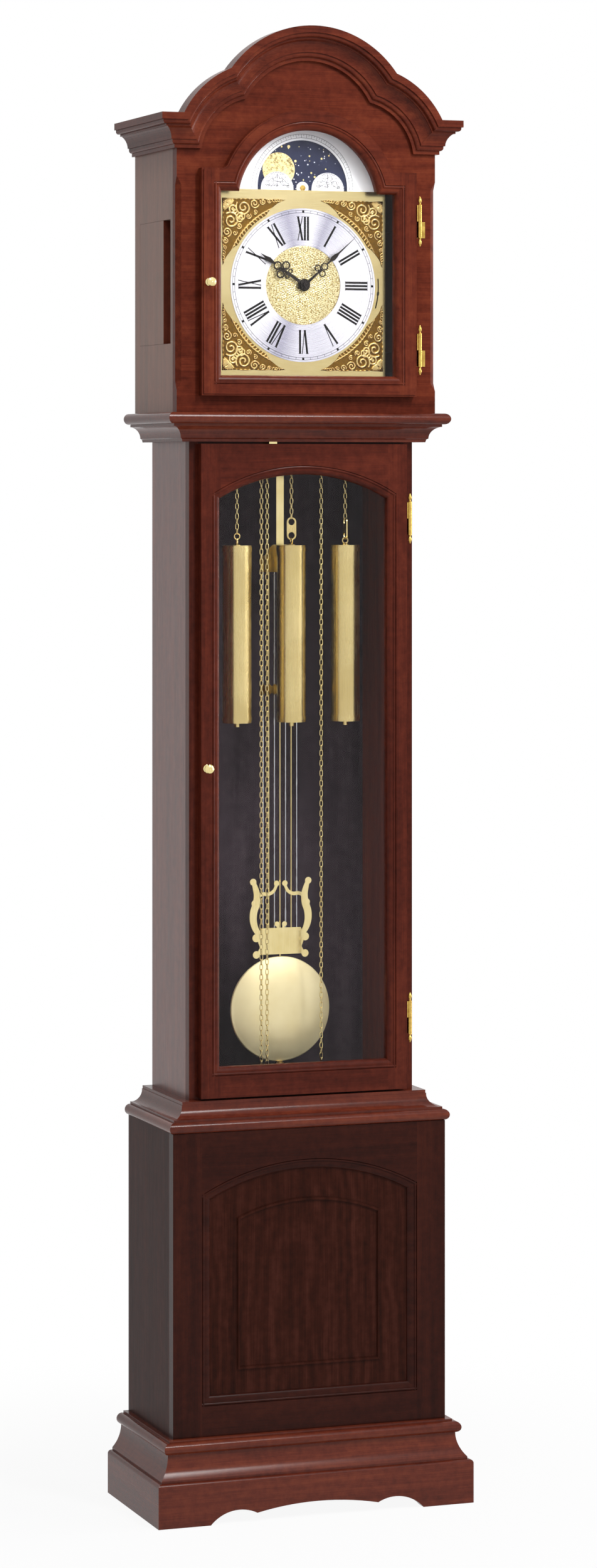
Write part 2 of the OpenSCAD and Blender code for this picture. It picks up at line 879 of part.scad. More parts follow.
// One corner ornament: scrolls on a thin pierced plate, for the upper right corner
module spandrel() {
    far = dial_w / 2 - 3.5;
    upright(dial_y - 0.8, dial_y)
        difference() {
            translate([49, 49])
                square(far - 49);
            circle(ring_d / 2 + 2.5, $fn = 180);
            for (t = [55.5:13:120]) {
                translate([t, far + 3])
                    circle(5);
                translate([far + 3, t])
                    circle(5);
            }
            for (p = [[88, 100], [100, 88], [101, 114], [114, 101], [71, 113], [113, 71]])
                translate(p)
                    circle(3);
        }
    upright(dial_y - 2, dial_y - 0.7) {
        translate([108, 108])
            circle(5);
        for (m = [0, 1])
            mirror([m, -m]) {
                loop(94, 108, 6.6, 2.4);
                loop(80, 112, 5, 2);
                loop(108, 118, 4, 1.8);
                loop(63, 114, 4.4, 1.8);
                translate([84.6, 101])
                    circle(3.2);
                translate([71.5, 106])
                    circle(2.6);
                translate([93, 91])
                    circle(2.8);
            }
    }
}

// Four corner ornaments round the ring
module spandrels() {
    color("#b08a3c")
        translate([0, 0, dial_z])
            both_sides() {
                spandrel();
                mirror([0, 0, 1])
                    spandrel();
            }
}

// White arch above the dial plate, with a window for the moon and two humps
module moon_arch() {
    y = dial_y + dial_t;
    color("#eef0f2") {
        upright(y, y + dial_t)
            difference() {
                intersection() {
                    translate([0, arch_z])
                        circle(arch_plate_r, $fn = 180);
                    translate([-arch_plate_r, dial_z1 - 14])
                        square([2 * arch_plate_r, 140]);
                }
                difference() {
                    translate([0, moon_z])
                        circle(moon_window_r, $fn = 120);
                    translate([-100, dial_z1 - 60])
                        square([200, 59]);
                    for (s = [-1, 1])
                        translate([s * (moon_window_r - 30.1), moon_z - 2])
                            circle(hump_r);
                    translate([0, moon_z])
                        circle(9);
                }
            }
        disc(0, moon_z, 3, y - 0.8, y);
        disc(0, moon_z, 1.5, y + dial_t, moon_y + 2);
        disc(0, moon_z, 3, moon_y + 2, moon_y + 3);
    }
}

// Disc with the painted sky and moons, which turns behind the arch
module moon_disc() {
    color("#232a4a")
        difference() {
            disc(0, moon_z, moon_disc_r, moon_y, moon_y + 1.2);
            disc(0, moon_z, 1.5 + shaft_play, moon_y - 1, moon_y + 2);
        }
}

// Lever that silences the chimes: it turns behind the plate, its blade in the slot
module chime_lever() {
    y = dial_y + dial_t + 0.6;
    color(BLACK)
        translate([0, 0, dial_z])
            rotate([0, 5.25, 0]) {
                upright(y, y + 1)
                    difference() {
                        union() {
                            circle(11);
                            polygon([[8, -4], [lever_r + 0.6, -2.4], [lever_r + 0.6, 2.4], [8, 4]]);
                        }
                        circle(7 + shaft_play);
                    }
                block(lever_r - 0.6, lever_r + 0.6, dial_y - 3, y, -2.4, 2.4);
            }
}

// Brass plates and pillars of the movement, its wheel stud and the pendulum's bracket
module movement_frame() {
    stud = minute_wheel_at;
    wall = plates_w / 2;
    color(BRASS) {
        difference() {
            for (y = [front_plate_y, rear_plate_y])
                block(-wall, wall, y, y + plates_t, seat_z, plates_z1);
            disc(0, dial_z, 2 + shaft_play, front_plate_y - 1, rear_plate_y + 5);
            disc(0, pivot_z, 1.5 + shaft_play, front_plate_y - 1, rear_plate_y + 5);
            disc(0, escape_z, 1.5 + shaft_play, front_plate_y - 1, rear_plate_y + 5);
            for (x = [LEFT, CENTRE, RIGHT])
                disc(x, chain_wheel_z, 2.5 + shaft_play, front_plate_y - 1, rear_plate_y + 5);
        }
        for (p = [[LEFT, seat_z + 12], [RIGHT, seat_z + 12], [-85, plates_z1 - 15],
                [85, plates_z1 - 15]])
            disc(p.x, p.y, 4, front_plate_y + plates_t, rear_plate_y);
        disc(stud.x, stud.y, 1.5, front_plate_y - 15, front_plate_y);
        disc(stud.x, stud.y, 2.6, front_plate_y - 15, front_plate_y - 14);
        block(-8, 8, rear_plate_y + plates_t, pendulum_y + 6, pivot_z + 8, pivot_z + 18);
        block(-8, 8, pendulum_y + 3, pendulum_y + 6, pivot_z - 6, pivot_z + 8);
        disc(0, pivot_z, 1, pendulum_y - 2.2, pendulum_y + 3);
    }
}

// Block on the back board with the hanging rods that the clock chimes on
module chime_rods() {
    y = inner_back_y - 12;
    color(STEEL)
        difference() {
            union() {
                block(-62, 62, y - 4, inner_back_y, dial_z1, dial_z1 + 30);
                for (i = [0:7])
                    translate([14 * i - 49, y, dial_z1 - 330 + 10 * i])
                        cylinder(r = 2, h = 340 - 10 * i);
            }
            for (x = [-55.5, 55.5])
                disc(x, dial_z1 + 15, 2, y - 5, y - 2);
        }
}

// Turned end of a hinge barrel
module finial() {
    rotate_extrude()
        polygon([[0, -1], [2.2, -1], [2.6, 0.5], [1.6, 1.4], [1.5, 2.4], [2.5, 4.4], [2.8, 6.4],
            [2.3, 8.8], [1.2, 10.8], [0.9, 11.9], [0, 12.75]]);
}

// Fixed half of a hinge: lower barrel, pin, and a plate cranked back to the frame
module case_leaf(door_x, door_y, z, face_y, foot_x1) {
    r = barrel_d / 2;
    x = door_x + leaf_t + 0.35 + r;
    half = barrel_l / 2 - 0.1;
    translate([x, door_y, z]) {
        cylinder(r = r, h = half);
        cylinder(r = hinge_pin_d / 2, h = barrel_l - 1);
        mirror([0, 0, 1])
            finial();
    }
    block(x - r + 0.4, x - r + 0.4 + leaf_t, door_y, face_y, z + 0.5, z + half);
    block(x - r + 0.4, foot_x1, face_y - leaf_t, face_y, z + 0.5, z + half);
}

// Moving half of a hinge: upper barrel and a plate on the door's edge
module door_leaf(door_x, door_y, z) {
    r = barrel_d / 2;
    x = door_x + leaf_t + 0.35 + r;
    z0 = z + barrel_l / 2 + 0.1;
    z1 = z + barrel_l;
    difference() {
        union() {
            translate([x, door_y, z0]) {
                cylinder(r = r, h = z1 - z0);
                translate([0, 0, z1 - z0])
                    finial();
            }
            block(door_x + 0.2, x - r + 0.8, door_y - 0.6, door_y + 0.6, z0, z1 - 0.5);
        }
        translate([x, door_y, z0 - 1])
            cylinder(r = hinge_pin_d / 2 + shaft_play, h = barrel_l / 2);
    }
    block(door_x, door_x + leaf_t, door_y - 0.6, door_y + 12, z0, z1 - 0.5);
}

module case_hinges() {
    color(BRASS) {
        for (z = hood_hinges)
            case_leaf(hood_door_x, hood_door_y, z, hood_y, hood_door_x + 17.5);
        for (z = waist_hinges)
            case_leaf(waist_door_x, waist_door_y, z, waist_y, waist_w / 2 - 1);
    }
}

// Frame of the waist door, with a moulded edge down to the glass
module waist_door_frame() {
    y = waist_door_y;
    a = waist_open_x;
    r = arch_r(a, waist_arch_rise);
    color(WOOD) {
        upright(y, y + waist_door_t)
            difference() {
                translate([-waist_door_x, waist_door_z0])
                    square([waist_door_w, waist_door_z1 - waist_door_z0]);
                arched(a, waist_open_z0, waist_open_z1, waist_arch_rise);
            }
        edge_runs(a, waist_open_z0, waist_open_z1 + 8, y)
            edge_section(edge_w, edge_depth);
        edge_arch(r, waist_open_z1 + waist_arch_rise - r, y, a, waist_open_z1 - 30)
            edge_section(edge_w, edge_depth);
        upright(y + edge_depth + glass_t, y + waist_door_t)
            difference() {
                arched(a, waist_open_z0, waist_open_z1, waist_arch_rise, 1);
                arched(a, waist_open_z0, waist_open_z1, waist_arch_rise, -4);
            }
    }
}

module waist_door_glass() {
    y = waist_door_y + edge_depth;
    color("#dfe8ea80")
        upright(y, y + glass_t)
            arched(waist_open_x, waist_open_z0, waist_open_z1, waist_arch_rise, -0.2);
}

// Small turned knob
module knob(x, y, z) {
    r = knob_d / 2;
    color(BRASS)
        translate([x, y, z])
            rotate([90, 0, 0])
                rotate_extrude()
                    polygon([[0, 0], [0.8 * r, 0], [0.8 * r, 1], [0.45 * r, 2], [0.36 * r, 5],
                        [0.5 * r, 7], [0.86 * r, 9], [r, 11], [r, 12.4], [0.85 * r, 14.4],
                        [0.5 * r, 15.8], [0, 16.3]]);
}

module waist_door_knob() {
    knob(waist_rail_w / 2 - waist_door_x, waist_door_y, waist_z0 + 475.5);
}

module waist_door_hinges() {
    color(BRASS)
        for (z = waist_hinges)
            door_leaf(waist_door_x, waist_door_y, z);
}

// Outline of the hood door, made smaller by g, with hollows beside its round head
module hood_door_outline(g) {
    f = 11 + g;
    r = hood_door_r - g;
    z1 = hood_door_z1 - g;
    rise = z1 + f - arch_z;
    fx = sqrt(pow(r + f, 2) - pow(rise, 2));
    turn = 90 - atan(rise / fx);
    round_headed(hood_door_x - g, hood_door_z0 + g, z1, r);
    both_sides()
        polygon(concat(
            [for (i = [0:8]) [fx - f * sin(turn * i / 8), z1 + f - f * cos(turn * i / 8)]],
            [[fx - 20, z1 - 5], [fx, z1 - 5]]));
}

// Frame of the hood door, with a moulded edge down to the glass
module hood_door_frame() {
    y = hood_door_y;
    a = hood_open_x;
    z1 = hood_open_z1;
    r = hood_open_r;
    p_out = [sqrt(pow(r, 2) - pow(z1 - arch_z, 2)), z1];
    p_in = [sqrt(pow(r - edge_w, 2) - pow(z1 - edge_w - arch_z, 2)), z1 - edge_w];
    q_out = p_out + 0.12 * (p_out - p_in);
    q_in = p_in - 0.12 * (p_out - p_in);
    hair = [0.03, 0];
    top = arch_z + r + 5;
    color(WOOD) {
        difference() {
            union() {
                upright(y + 1.5, y + hood_door_t)
                    hood_door_outline(0);
                upright(y, y + 2)
                    hood_door_outline(2.5);
            }
            upright(y - 1, y + hood_door_t + 1)
                round_headed(a, hood_open_z0, z1, r);
        }
        edge_runs(a, hood_open_z0, z1 + 1, y)
            edge_section(edge_w, edge_depth);
        both_sides()
            intersection() {
                translate([a, y, z1])
                    mirror([0, 0, 1])
                        rotate([0, -90, 0])
                            linear_extrude(a)
                                edge_section(edge_w, edge_depth);
                upright(y - 1, y + 40)
                    polygon([q_in + hair, q_out + hair, [a + 1, q_out.y], [a + 1, q_in.y]]);
            }
        intersection() {
            translate([0, y, arch_z])
                rotate([-90, 0, 0])
                    rotate_extrude($fn = 180)
                        translate([r, 0])
                            mirror([1, 0])
                                edge_section(edge_w, edge_depth);
            upright(y - 1, y + 40) {
                wedge(q_in - hair, q_out - hair);
                translate([hair.x - q_out.x, q_out.y - 1])
                    square([2 * (q_out.x - hair.x), top - q_out.y]);
            }
        }
        upright(y + edge_depth + glass_t, y + hood_door_t)
            difference() {
                round_headed(a + 1, hood_open_z0 - 1, z1 + 1, r + 1);
                round_headed(a - 4, hood_open_z0 + 4, z1 - 4, r - 4);
            }
    }
}

module hood_door_glass() {
    y = hood_door_y + edge_depth;
    g = 0.2;
    color("#dfe8ea80")
        upright(y, y + glass_t)
            round_headed(hood_open_x - g, hood_open_z0 + g, hood_open_z1 - g, hood_open_r - g);
}

module hood_door_knob() {
    knob(10.5 - hood_door_x, hood_door_y, dial_z + 1);
}

module hood_door_hinges() {
    color(BRASS)
        for (z = hood_hinges)
            door_leaf(hood_door_x, hood_door_y, z);
}

// Loose board in the hood's right side, with a gap to put a finger in
module access_board() {
    color(WOOD)
        block(hood_w / 2 - hood_t, hood_w / 2, access_y0 - access_board_l, access_y0 - fit,
            access_z0 + fit, access_z0 + access_h - fit);
}

module left_access_board() {
    mirror([1, 0, 0])
        access_board();
}

module right_access_board() {
    access_board();
}

// A flat ring at x and z
module loop(x, z, r, w) {
    translate([x, z])
        difference() {
            circle(r);
            circle(r - w);
        }
}

module hour_hand() {
    l = hour_hand_l;
    color(BLACK)
        translate([0, 0, dial_z])
            rotate([0, hour_turn, 0])
                upright(ring_y - 4.8, ring_y - 4)
                    difference() {
                        union() {
                            circle(9);
                            polygon([[-2.6, 0], [2.6, 0], [1.6, l - 37], [-1.6, l - 37]]);
                            for (s = [-1, 1]) {
                                loop(s * 7.6, l - 42, 6.2, 2);
                                loop(s * 4.6, l - 52, 3.6, 1.5);
                            }
                            loop(0, l - 31.5, 6.4, 2);
                            translate([0, l - 42])
                                circle(2.8);
                            polygon([[-1.2, l - 26.6], [-3.4, l - 16], [-1.6, l - 9], [0, l], [1.6, l - 9],
                                [3.4, l - 16], [1.2, l - 26.6]]);
                        }
                        circle(3.5 + shaft_play);
                    }
}

module minute_hand() {
    l = minute_hand_l;
    y = ring_y - 8.4;
    color(BLACK)
        translate([0, 0, dial_z])
            rotate([0, minute_turn, 0]) {
                upright(y, y + 0.8)
                    difference() {
                        union() {
                            circle(7);
                            polygon([[-2.2, 0], [2.2, 0], [1.3, 36], [-1.3, 36]]);
                            for (s = [-1, 1])
                                loop(s * 5.4, 31, 5, 1.6);
                            loop(0, 40.5, 5.6, 1.7);
                            translate([0, 31])
                                circle(2.4);
                            polygon([[-1.3, 45], [-1.1, 52], [-3.6, 58], [-3, 64], [-1.2, 70], [0, l],
                                [1.2, 70], [3, 64], [3.6, 58], [1.1, 52], [1.3, 45]]);
                        }
                        circle(2 + shaft_play);
                    }
                difference() {
                    union() {
                        disc(0, 0, 4.6, y - 1.6, y);
                        disc(0, 0, 3.4, y - 4.4, y - 1.5);
                    }
                    disc(0, 0, 2 + shaft_play, y - 3.5, y + 1);
                }
            }
}

// Wheel and pipe that carry the hour hand
module hour_wheel() {
    y = front_plate_y;
    color(BRASS)
        translate([0, 0, dial_z])
            difference() {
                union() {
                    upright(y - 12, y - 10)
                        rotate(wheel_angle + 4.5)
                            gear_outline(40, 0.96 * gear_module);
                    disc(0, 0, 3.5, ring_y - 4.8, y - 7.3);
                }
                disc(0, 0, 2 + shaft_play, ring_y - 6, y);
            }
}

// Arbor that carries the minute hand, with its pinion
module centre_arbor() {
    y = front_plate_y;
    color(STEEL)
        translate([0, 0, dial_z]) {
            disc(0, 0, 2, ring_y - 11.8, rear_plate_y + plates_t + 1);
            upright(y - 7, y - 3)
                difference() {
                    rotate(wheel_angle)
                        gear_outline(12, gear_module);
                    circle(1.9);
                }
        }
}

// Wheel and pinion between the minute arbor and the hour wheel
module minute_wheel() {
    y = front_plate_y;
    color(BRASS)
        translate([minute_wheel_at.x, 0, minute_wheel_at.y])
            difference() {
                union() {
                    upright(y - 7, y - 5)
                        rotate(wheel_angle + 185)
                            gear_outline(36, gear_module);
                    upright(y - 13, y - 6.9)
                        rotate(wheel_angle + 180)
                            gear_outline(10, 0.96 * gear_module);
                }
                disc(0, 0, 1.5 + shaft_play, y - 14, y);
            }
}

// Strip that the pendulum hangs on, with its spring and the block on the pivot pin
module pendulum_leader() {
    y = pendulum_y;
    w = leader_w / 2;
    color(STEEL) {
        difference() {
            block(-3, 3, y - 2, y + 2, pivot_z - 3, pivot_z + 3);
            disc(0, pivot_z, 1 + shaft_play, y - 3, y + 3);
        }
        block(-2.5, 2.5, y - 0.2, y + 0.2, pivot_z - 14.5, pivot_z - 2.5);
        block(-w, w, y - 1.6, y + 1.6, pivot_z - 24, pivot_z - 14);
        block(-w, w, y - 0.75, y + 0.75, leader_z0 - 5, pivot_z - 23);
    }
}

// Plates that hold the pendulum's rods at their upper ends and in their middle
module pendulum_plates() {
    y = pendulum_y;
    w = 3 * rod_pitch + 5;
    z = top_plate_z0;
    mid = z - 172;
    color(BRASS) {
        upright(y - 2.5, y + 2.5)
            polygon([[-w, z], [w, z], [w, z + 21], [w - 3, z + 24], [w - 8, z + 25], [w - 12, z + 29],
                [w - 14, z + 36], [w - 20, z + 40], [20 - w, z + 40], [14 - w, z + 36],
                [12 - w, z + 29], [8 - w, z + 25], [3 - w, z + 24], [-w, z + 21]]);
        difference() {
            upright(y - 2.5, y + 2.5)
                difference() {
                    translate([-w, mid - 7.5])
                        square([2 * w, 15]);
                    for (i = [-3:2], s = [-1, 1])
                        translate([(i + 0.5) * rod_pitch, mid + s * 8.5])
                            circle(3);
                }
            for (i = [-3:3])
                translate([i * rod_pitch, y, mid - 10])
                    cylinder(r = rod_d / 2, h = 20);
        }
        block(-w + 4, w - 4, y - 4, y - 2.5, z + 2, z + 16);
    }
}

// The rods of the pendulum, alternately of steel and of brass
module rods(places) {
    for (i = places)
        translate([i * rod_pitch, pendulum_y, rods_z0])
            cylinder(r = rod_d / 2, h = top_plate_z0 - rods_z0);
}

module steel_rods() {
    color(STEEL)
        rods([-3, -1, 1, 3]);
}

module brass_rods() {
    color(BRASS)
        rods([-2, 0, 2]);
}

// Outline of one half of the lyre, its origin at the bob's middle
module lyre_half() {
    translate([0, 80.3])
        square([30, 38.7]);
    polygon([[29, 80.3], [35, 80.3], [36, 84], [32.5, 91], [35, 98], [36, 106], [31, 119], [29, 119]]);
    ribbon([[32, 108], [39, 118], [42.5, 130], [42, 143], [38, 155], [37, 168], [40, 180], [42, 186]],
        7, 11, 5);
    for (b = [[37.8, 80.5, 5.5], [38, 105, 6], [36, 166, 4.5], [40.5, 155.5, 5], [42.8, 187, 5]])
        translate([b.x, b.y])
            circle(b.z);
    ribbon([[6.4, 182], [11, 173], [19, 168.6], [28, 169], [36, 165]], 4, 4, 5);
    translate([6.4, 184])
        circle(4.2);
    translate([5.8, 124.5])
        circle(3.8);
    translate([2.4, 118])
        square([3.8, 5]);
}

// Lyre at the foot of the rods, with the block they stand in and the rod for the bob
module lyre() {
    y = pendulum_y - rod_d / 2 - 0.3 - lyre_t;
    color(BRASS)
        translate([0, 0, bob_z]) {
            upright(y, y + lyre_t)
                both_sides()
                    lyre_half();
            block(-30, 30, y + lyre_t, pendulum_y + 2, 80.3, rods_z0 - bob_z);
            translate([0, pendulum_y, nut_travel - bob_r - 15])
                cylinder(r = 1.5, h = bob_r + 15 + 80.3 - nut_travel);
        }
}

// Lens of the pendulum, with a hole for its rod
module bob() {
    h = bob_t / 2;
    sag = h - 2.5;
    r = (bob_r * bob_r + sag * sag) / (2 * sag);
    color(BRASS)
        difference() {
            translate([0, pendulum_y, bob_z])
                rotate([90, 0, 0])
                    rotate_extrude($fn = 180)
                        intersection() {
                            translate([0, h - r])
                                circle(r, $fn = 360);
                            translate([0, r - h])
                                circle(r, $fn = 360);
                            translate([0, -h - 1])
                                square([bob_r, 2 * h + 2]);
                        }
            translate([0, pendulum_y, bob_z - bob_r - 5])
                cylinder(r = 1.5 + shaft_play, h = bob_d + 10);
        }
}

// Nut under the bob
module rating_nut() {
    color(BRASS)
        translate([0, pendulum_y, bob_z - bob_r - 7.2])
            difference() {
                union() {
                    cylinder(r = 6, h = 5);
                    cylinder(r = 4, h = 7);
                }
                translate([0, 0, -1])
                    cylinder(r = 1.5 + shaft_play, h = 10);
            }
}

// Anchor over the escape wheel, its arbor, and the fork that drives the pendulum
module anchor() {
    yw = escape_y;
    y = rear_plate_y + plates_t + 2;
    color(STEEL) {
        disc(0, pivot_z, 1.5, front_plate_y + 1, y + 1.5);
        upright(yw, yw + 3)
            both_sides() {
                translate([0, pivot_z])
                    circle(3.5);
                polygon(concat(
                    [for (a = [45.5, 50.5]) [0, escape_z] + (escape_r + pallet_gap) * [sin(a), cos(a)]],
                    [[0, escape_z] + (escape_r + 3.5) * [sin(53), cos(53)], [4, pivot_z + 1],
                        [0, pivot_z + 1.5], [0, pivot_z - 2.5],
                        [0, escape_z] + (escape_r + 1.9) * [sin(42), cos(42)]]));
            }
        upright(y, y + 1.5) {
            translate([0, pivot_z])
                circle(4);
            translate([-2.5, dial_z - 5])
                square([5, pivot_z - dial_z + 5]);
            translate([-leader_w / 2 - 2.3, dial_z - 5])
                square([leader_w + 4.6, 8]);
        }
        both_sides()
            block(leader_w / 2 + 0.3, leader_w / 2 + 2.3, y + 1.4, pendulum_y + 2, dial_z - 5, dial_z + 3);
    }
}

// Escape wheel with thirty raked teeth, and its arbor
module escape_wheel() {
    r = escape_r;
    color(BRASS) {
        disc(0, escape_z, 1.5, front_plate_y + 1, rear_plate_y + plates_t);
        upright(escape_y, escape_y + 3)
            translate([0, escape_z])
                difference() {
                    polygon([for (i = [0:29]) each [
                        r * [cos(12 * i), sin(12 * i)],
                        (r - 3) * [cos(12 * i + 4), sin(12 * i + 4)],
                        (r - 3) * [cos(12 * i + 11), sin(12 * i + 11)]]]);
                    for (a = [0:72:288])
                        rotate(a + 36)
                            translate([7, 0])
                                circle(3);
                }
    }
}

// A chain link centred on the origin, lying in X and Z with its length along Z
module link() {
    r = link_w / 2 - wire_d;
    h = link_l / 2 - link_w / 2;
    y = wire_d / 2;
    both_sides()
        block(r, r + wire_d, -y, y, -h, h);
    for (t = [0, 1])
        mirror([0, 0, t])
            translate([0, 0, h])
                rotate([90, 0, 0])
                    rotate_extrude(angle = 180)
                        translate([r, -y])
                            square(wire_d);
}

// Links hanging down from a wheel's centre height, each a quarter turn from the last
module hanging(x, first, n) {
    for (i = [1:n])
        translate([x, weight_y, chain_wheel_z - (i - 0.5) * chain_pitch])
            rotate([0, 0, (i + first) % 2 == 1 ? 90 : 0])
                link();
}

// Links over the top of a wheel, counted from its weight side
module over_wheel(c, first) {
    side = c == LEFT ? -1 : 1;
    for (j = [0:7])
        translate([c, weight_y, chain_wheel_z])
            rotate([0, -side * (11.25 + 22.5 * j), 0])
                translate([side * chain_r, 0, 0])
                    rotate([0, 0, (j + first) % 2 == 1 ? 90 : 0])
                        link();
}

module chain_left() {
    color(BRASS) {
        over_wheel(LEFT, 0);
        hanging(weight_x(LEFT), 0, 39);
    }
}

module chain_centre() {
    color(BRASS) {
        over_wheel(CENTRE, 1);
        hanging(weight_x(CENTRE), 1, 36);
    }
}

module chain_right() {
    color(BRASS) {
        over_wheel(RIGHT, 0);
        hanging(weight_x(RIGHT), 0, 36);
    }
}

// The free side of a chain, with a ring at its end
module free_chain(c, first, turn) {
    n = round(free_chain_l / chain_pitch);
    end_z = chain_wheel_z - n * chain_pitch;
    color(BRASS) {
        hanging(free_x(c), first, n);
        translate([free_x(c), weight_y, end_z - 2.7])
            rotate([90, 0, turn])
                rotate_extrude()
                    translate([3.3, 0])
                        circle(0.7);
    }
}

module free_chain_left() {
    free_chain(LEFT, 1, 90);
}

module free_chain_centre() {
    free_chain(CENTRE, 0, 0);
}

module free_chain_right() {
    free_chain(RIGHT, 1, 90);
}

// Wheel that a chain runs over, with a groove for the upright links
module chain_wheel(c) {
    rim = chain_r - wire_d / 2 - 0.3;
    groove = chain_r - link_w / 2 - 0.3;
    g = wire_d / 2 + 0.3;
    f = link_w / 2 + 0.3;
    color(BRASS)
        translate([c, weight_y, chain_wheel_z]) {
            rotate([90, 0, 0])
                rotate_extrude()
                    polygon([[0, -f - 1.5], [21, -f - 1.5], [21, -f], [rim, -f], [rim, -g], [groove, -g],
                        [groove, g], [rim, g], [rim, f], [21, f], [21, f + 1.5], [0, f + 1.5]]);
            disc(0, 0, 2.5, front_plate_y - weight_y, rear_plate_y + plates_t - weight_y);
        }
}

module chain_wheel_left() {
    chain_wheel(LEFT);
}

module chain_wheel_centre() {
    chain_wheel(CENTRE);
}

module chain_wheel_right() {
    chain_wheel(RIGHT);
}

// Brass shell of a weight with its end caps, and a turned neck up to its eye
module weight(x, eye_z, turn) {
    r = weight_d / 2;
    top = weight_top;
    color(BRASS)
        translate([x, weight_y, 0]) {
            translate([0, 0, top - weight_l])
                cylinder(r = r, h = weight_l);
            for (z = [top - weight_l + 3, top - 9])
                translate([0, 0, z])
                    cylinder(r = r + 0.7, h = 6);
            translate([0, 0, top - 0.1])
                rotate_extrude()
                    polygon([[0, 0], [6, 0], [6, 1], [3, 2.2], [2, 3], [1.7, eye_z - eye_r - top - 0.3],
                        [0, eye_z - eye_r - top]]);
            translate([0, 0, top - weight_l - 5.9])
                cylinder(r = 4, h = 6);
            translate([0, 0, eye_z])
                rotate([90, 0, turn])
                    rotate_extrude()
                        translate([eye_r, 0])
                            circle(eye_wire / 2);
        }
}

// Flat link with two slots between the end of a chain and a weight's eye
module plate_link(x, z1, turn) {
    h = 33;
    w = 14.5;
    color(BRASS)
        translate([x, weight_y, z1 - h])
            rotate([0, 0, turn])
                upright(-0.9, 0.9)
                    difference() {
                        union() {
                            translate([-w / 2, 6])
                                square([w, h - 12]);
                            for (z = [w / 2, h - w / 2])
                                translate([0, z])
                                    circle(w / 2);
                        }
                        for (z = [6.6, h - 6.8])
                            translate([0, z])
                                circle(4.8);
                    }
}

module weight_left() {
    weight(weight_x(LEFT), chain_wheel_z - 38.5 * chain_pitch - 2.7 - eye_r, 0);
}

module weight_centre() {
    weight(weight_x(CENTRE), plate_link_z1 - 33 + 1.8 - 2.8, 90);
    plate_link(weight_x(CENTRE), plate_link_z1, 0);
}

module weight_right() {
    weight(weight_x(RIGHT), plate_link_z1 - 33 + 1.8 - 2.8, 0);
    plate_link(weight_x(RIGHT), plate_link_z1, 90);
}

plinth_boards();
plinth_moulding();
base_front();
base_panel();
base_sides();
inner_boards();
waist_base_moulding();
waist_sides();
waist_stiles();
back_panel();
hood_moulding();
hood_sides();
hood_front();
cornice_moulding();
dial_plate();
spandrels();
chapter_ring();
dial_centre();
moon_arch();
movement_frame();
chime_rods();
case_hinges();
waist_door_frame();
waist_door_glass();
waist_door_knob();
waist_door_hinges();
hood_door_frame();
hood_door_glass();
hood_door_knob();
hood_door_hinges();
left_access_board();
right_access_board();
hour_hand();
hour_wheel();
minute_hand();
centre_arbor();
minute_wheel();
moon_disc();
chime_lever();
pendulum_leader();
pendulum_plates();
steel_rods();
brass_rods();
lyre();
bob();
rating_nut();
anchor();
escape_wheel();
weight_left();
weight_centre();
weight_right();
chain_left();
chain_centre();
chain_right();
free_chain_left();
free_chain_centre();
free_chain_right();
chain_wheel_left();
chain_wheel_centre();
chain_wheel_right();
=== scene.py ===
import logging
import math
from abc import ABC, abstractmethod
from dataclasses import dataclass, field
from enum import Enum

import bpy
import numpy as np
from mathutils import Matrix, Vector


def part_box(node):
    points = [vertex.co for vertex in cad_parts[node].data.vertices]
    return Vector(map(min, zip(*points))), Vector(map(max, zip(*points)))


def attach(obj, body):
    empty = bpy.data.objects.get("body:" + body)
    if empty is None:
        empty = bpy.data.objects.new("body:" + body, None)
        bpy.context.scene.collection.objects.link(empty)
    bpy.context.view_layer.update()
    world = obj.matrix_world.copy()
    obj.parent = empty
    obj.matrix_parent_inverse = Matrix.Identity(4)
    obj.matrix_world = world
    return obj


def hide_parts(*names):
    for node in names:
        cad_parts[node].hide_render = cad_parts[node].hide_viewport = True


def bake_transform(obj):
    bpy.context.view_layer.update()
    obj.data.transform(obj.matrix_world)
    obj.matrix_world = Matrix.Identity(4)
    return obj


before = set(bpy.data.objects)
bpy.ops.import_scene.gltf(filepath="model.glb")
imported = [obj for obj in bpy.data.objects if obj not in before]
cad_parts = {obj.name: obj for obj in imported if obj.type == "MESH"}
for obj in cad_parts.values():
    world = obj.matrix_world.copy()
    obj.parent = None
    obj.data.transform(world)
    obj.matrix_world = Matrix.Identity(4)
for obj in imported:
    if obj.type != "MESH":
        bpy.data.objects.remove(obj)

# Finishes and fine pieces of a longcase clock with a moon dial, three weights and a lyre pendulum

LOG = logging.getLogger("clock")
WHITE = (1.0, 1.0, 1.0, 1.0)

Material = bpy.types.Material
Node = bpy.types.Node
Socket = bpy.types.NodeSocket
Tree = bpy.types.NodeTree
Spot = tuple[float, float, float]


# Small tools shared by every sub-assembly


def linear(colour: str) -> tuple[float, float, float, float]:
    """Turn an sRGB hex colour into linear light.

    Args:
        colour: six hex digits after a hash.

    Returns:
        Red, green, blue and an alpha of one.
    """
    parts = [int(colour[i:i + 2], 16) / 255 for i in (1, 3, 5)]
    lit = [c / 12.92 if c <= 0.04045 else ((c + 0.055) / 1.055) ** 2.4 for c in parts]
    return (*lit, 1.0)


def fill(tree: Tree, node: Node, inputs: dict) -> None:
    """Set or link inputs of a node.

    Args:
        tree: the node tree that the node is in.
        node: the node.
        inputs: a value, or another node's output socket, for each input named or numbered here.
    """
    for key, value in inputs.items():
        if isinstance(value, Socket):
            tree.links.new(value, node.inputs[key])
        else:
            node.inputs[key].default_value = value


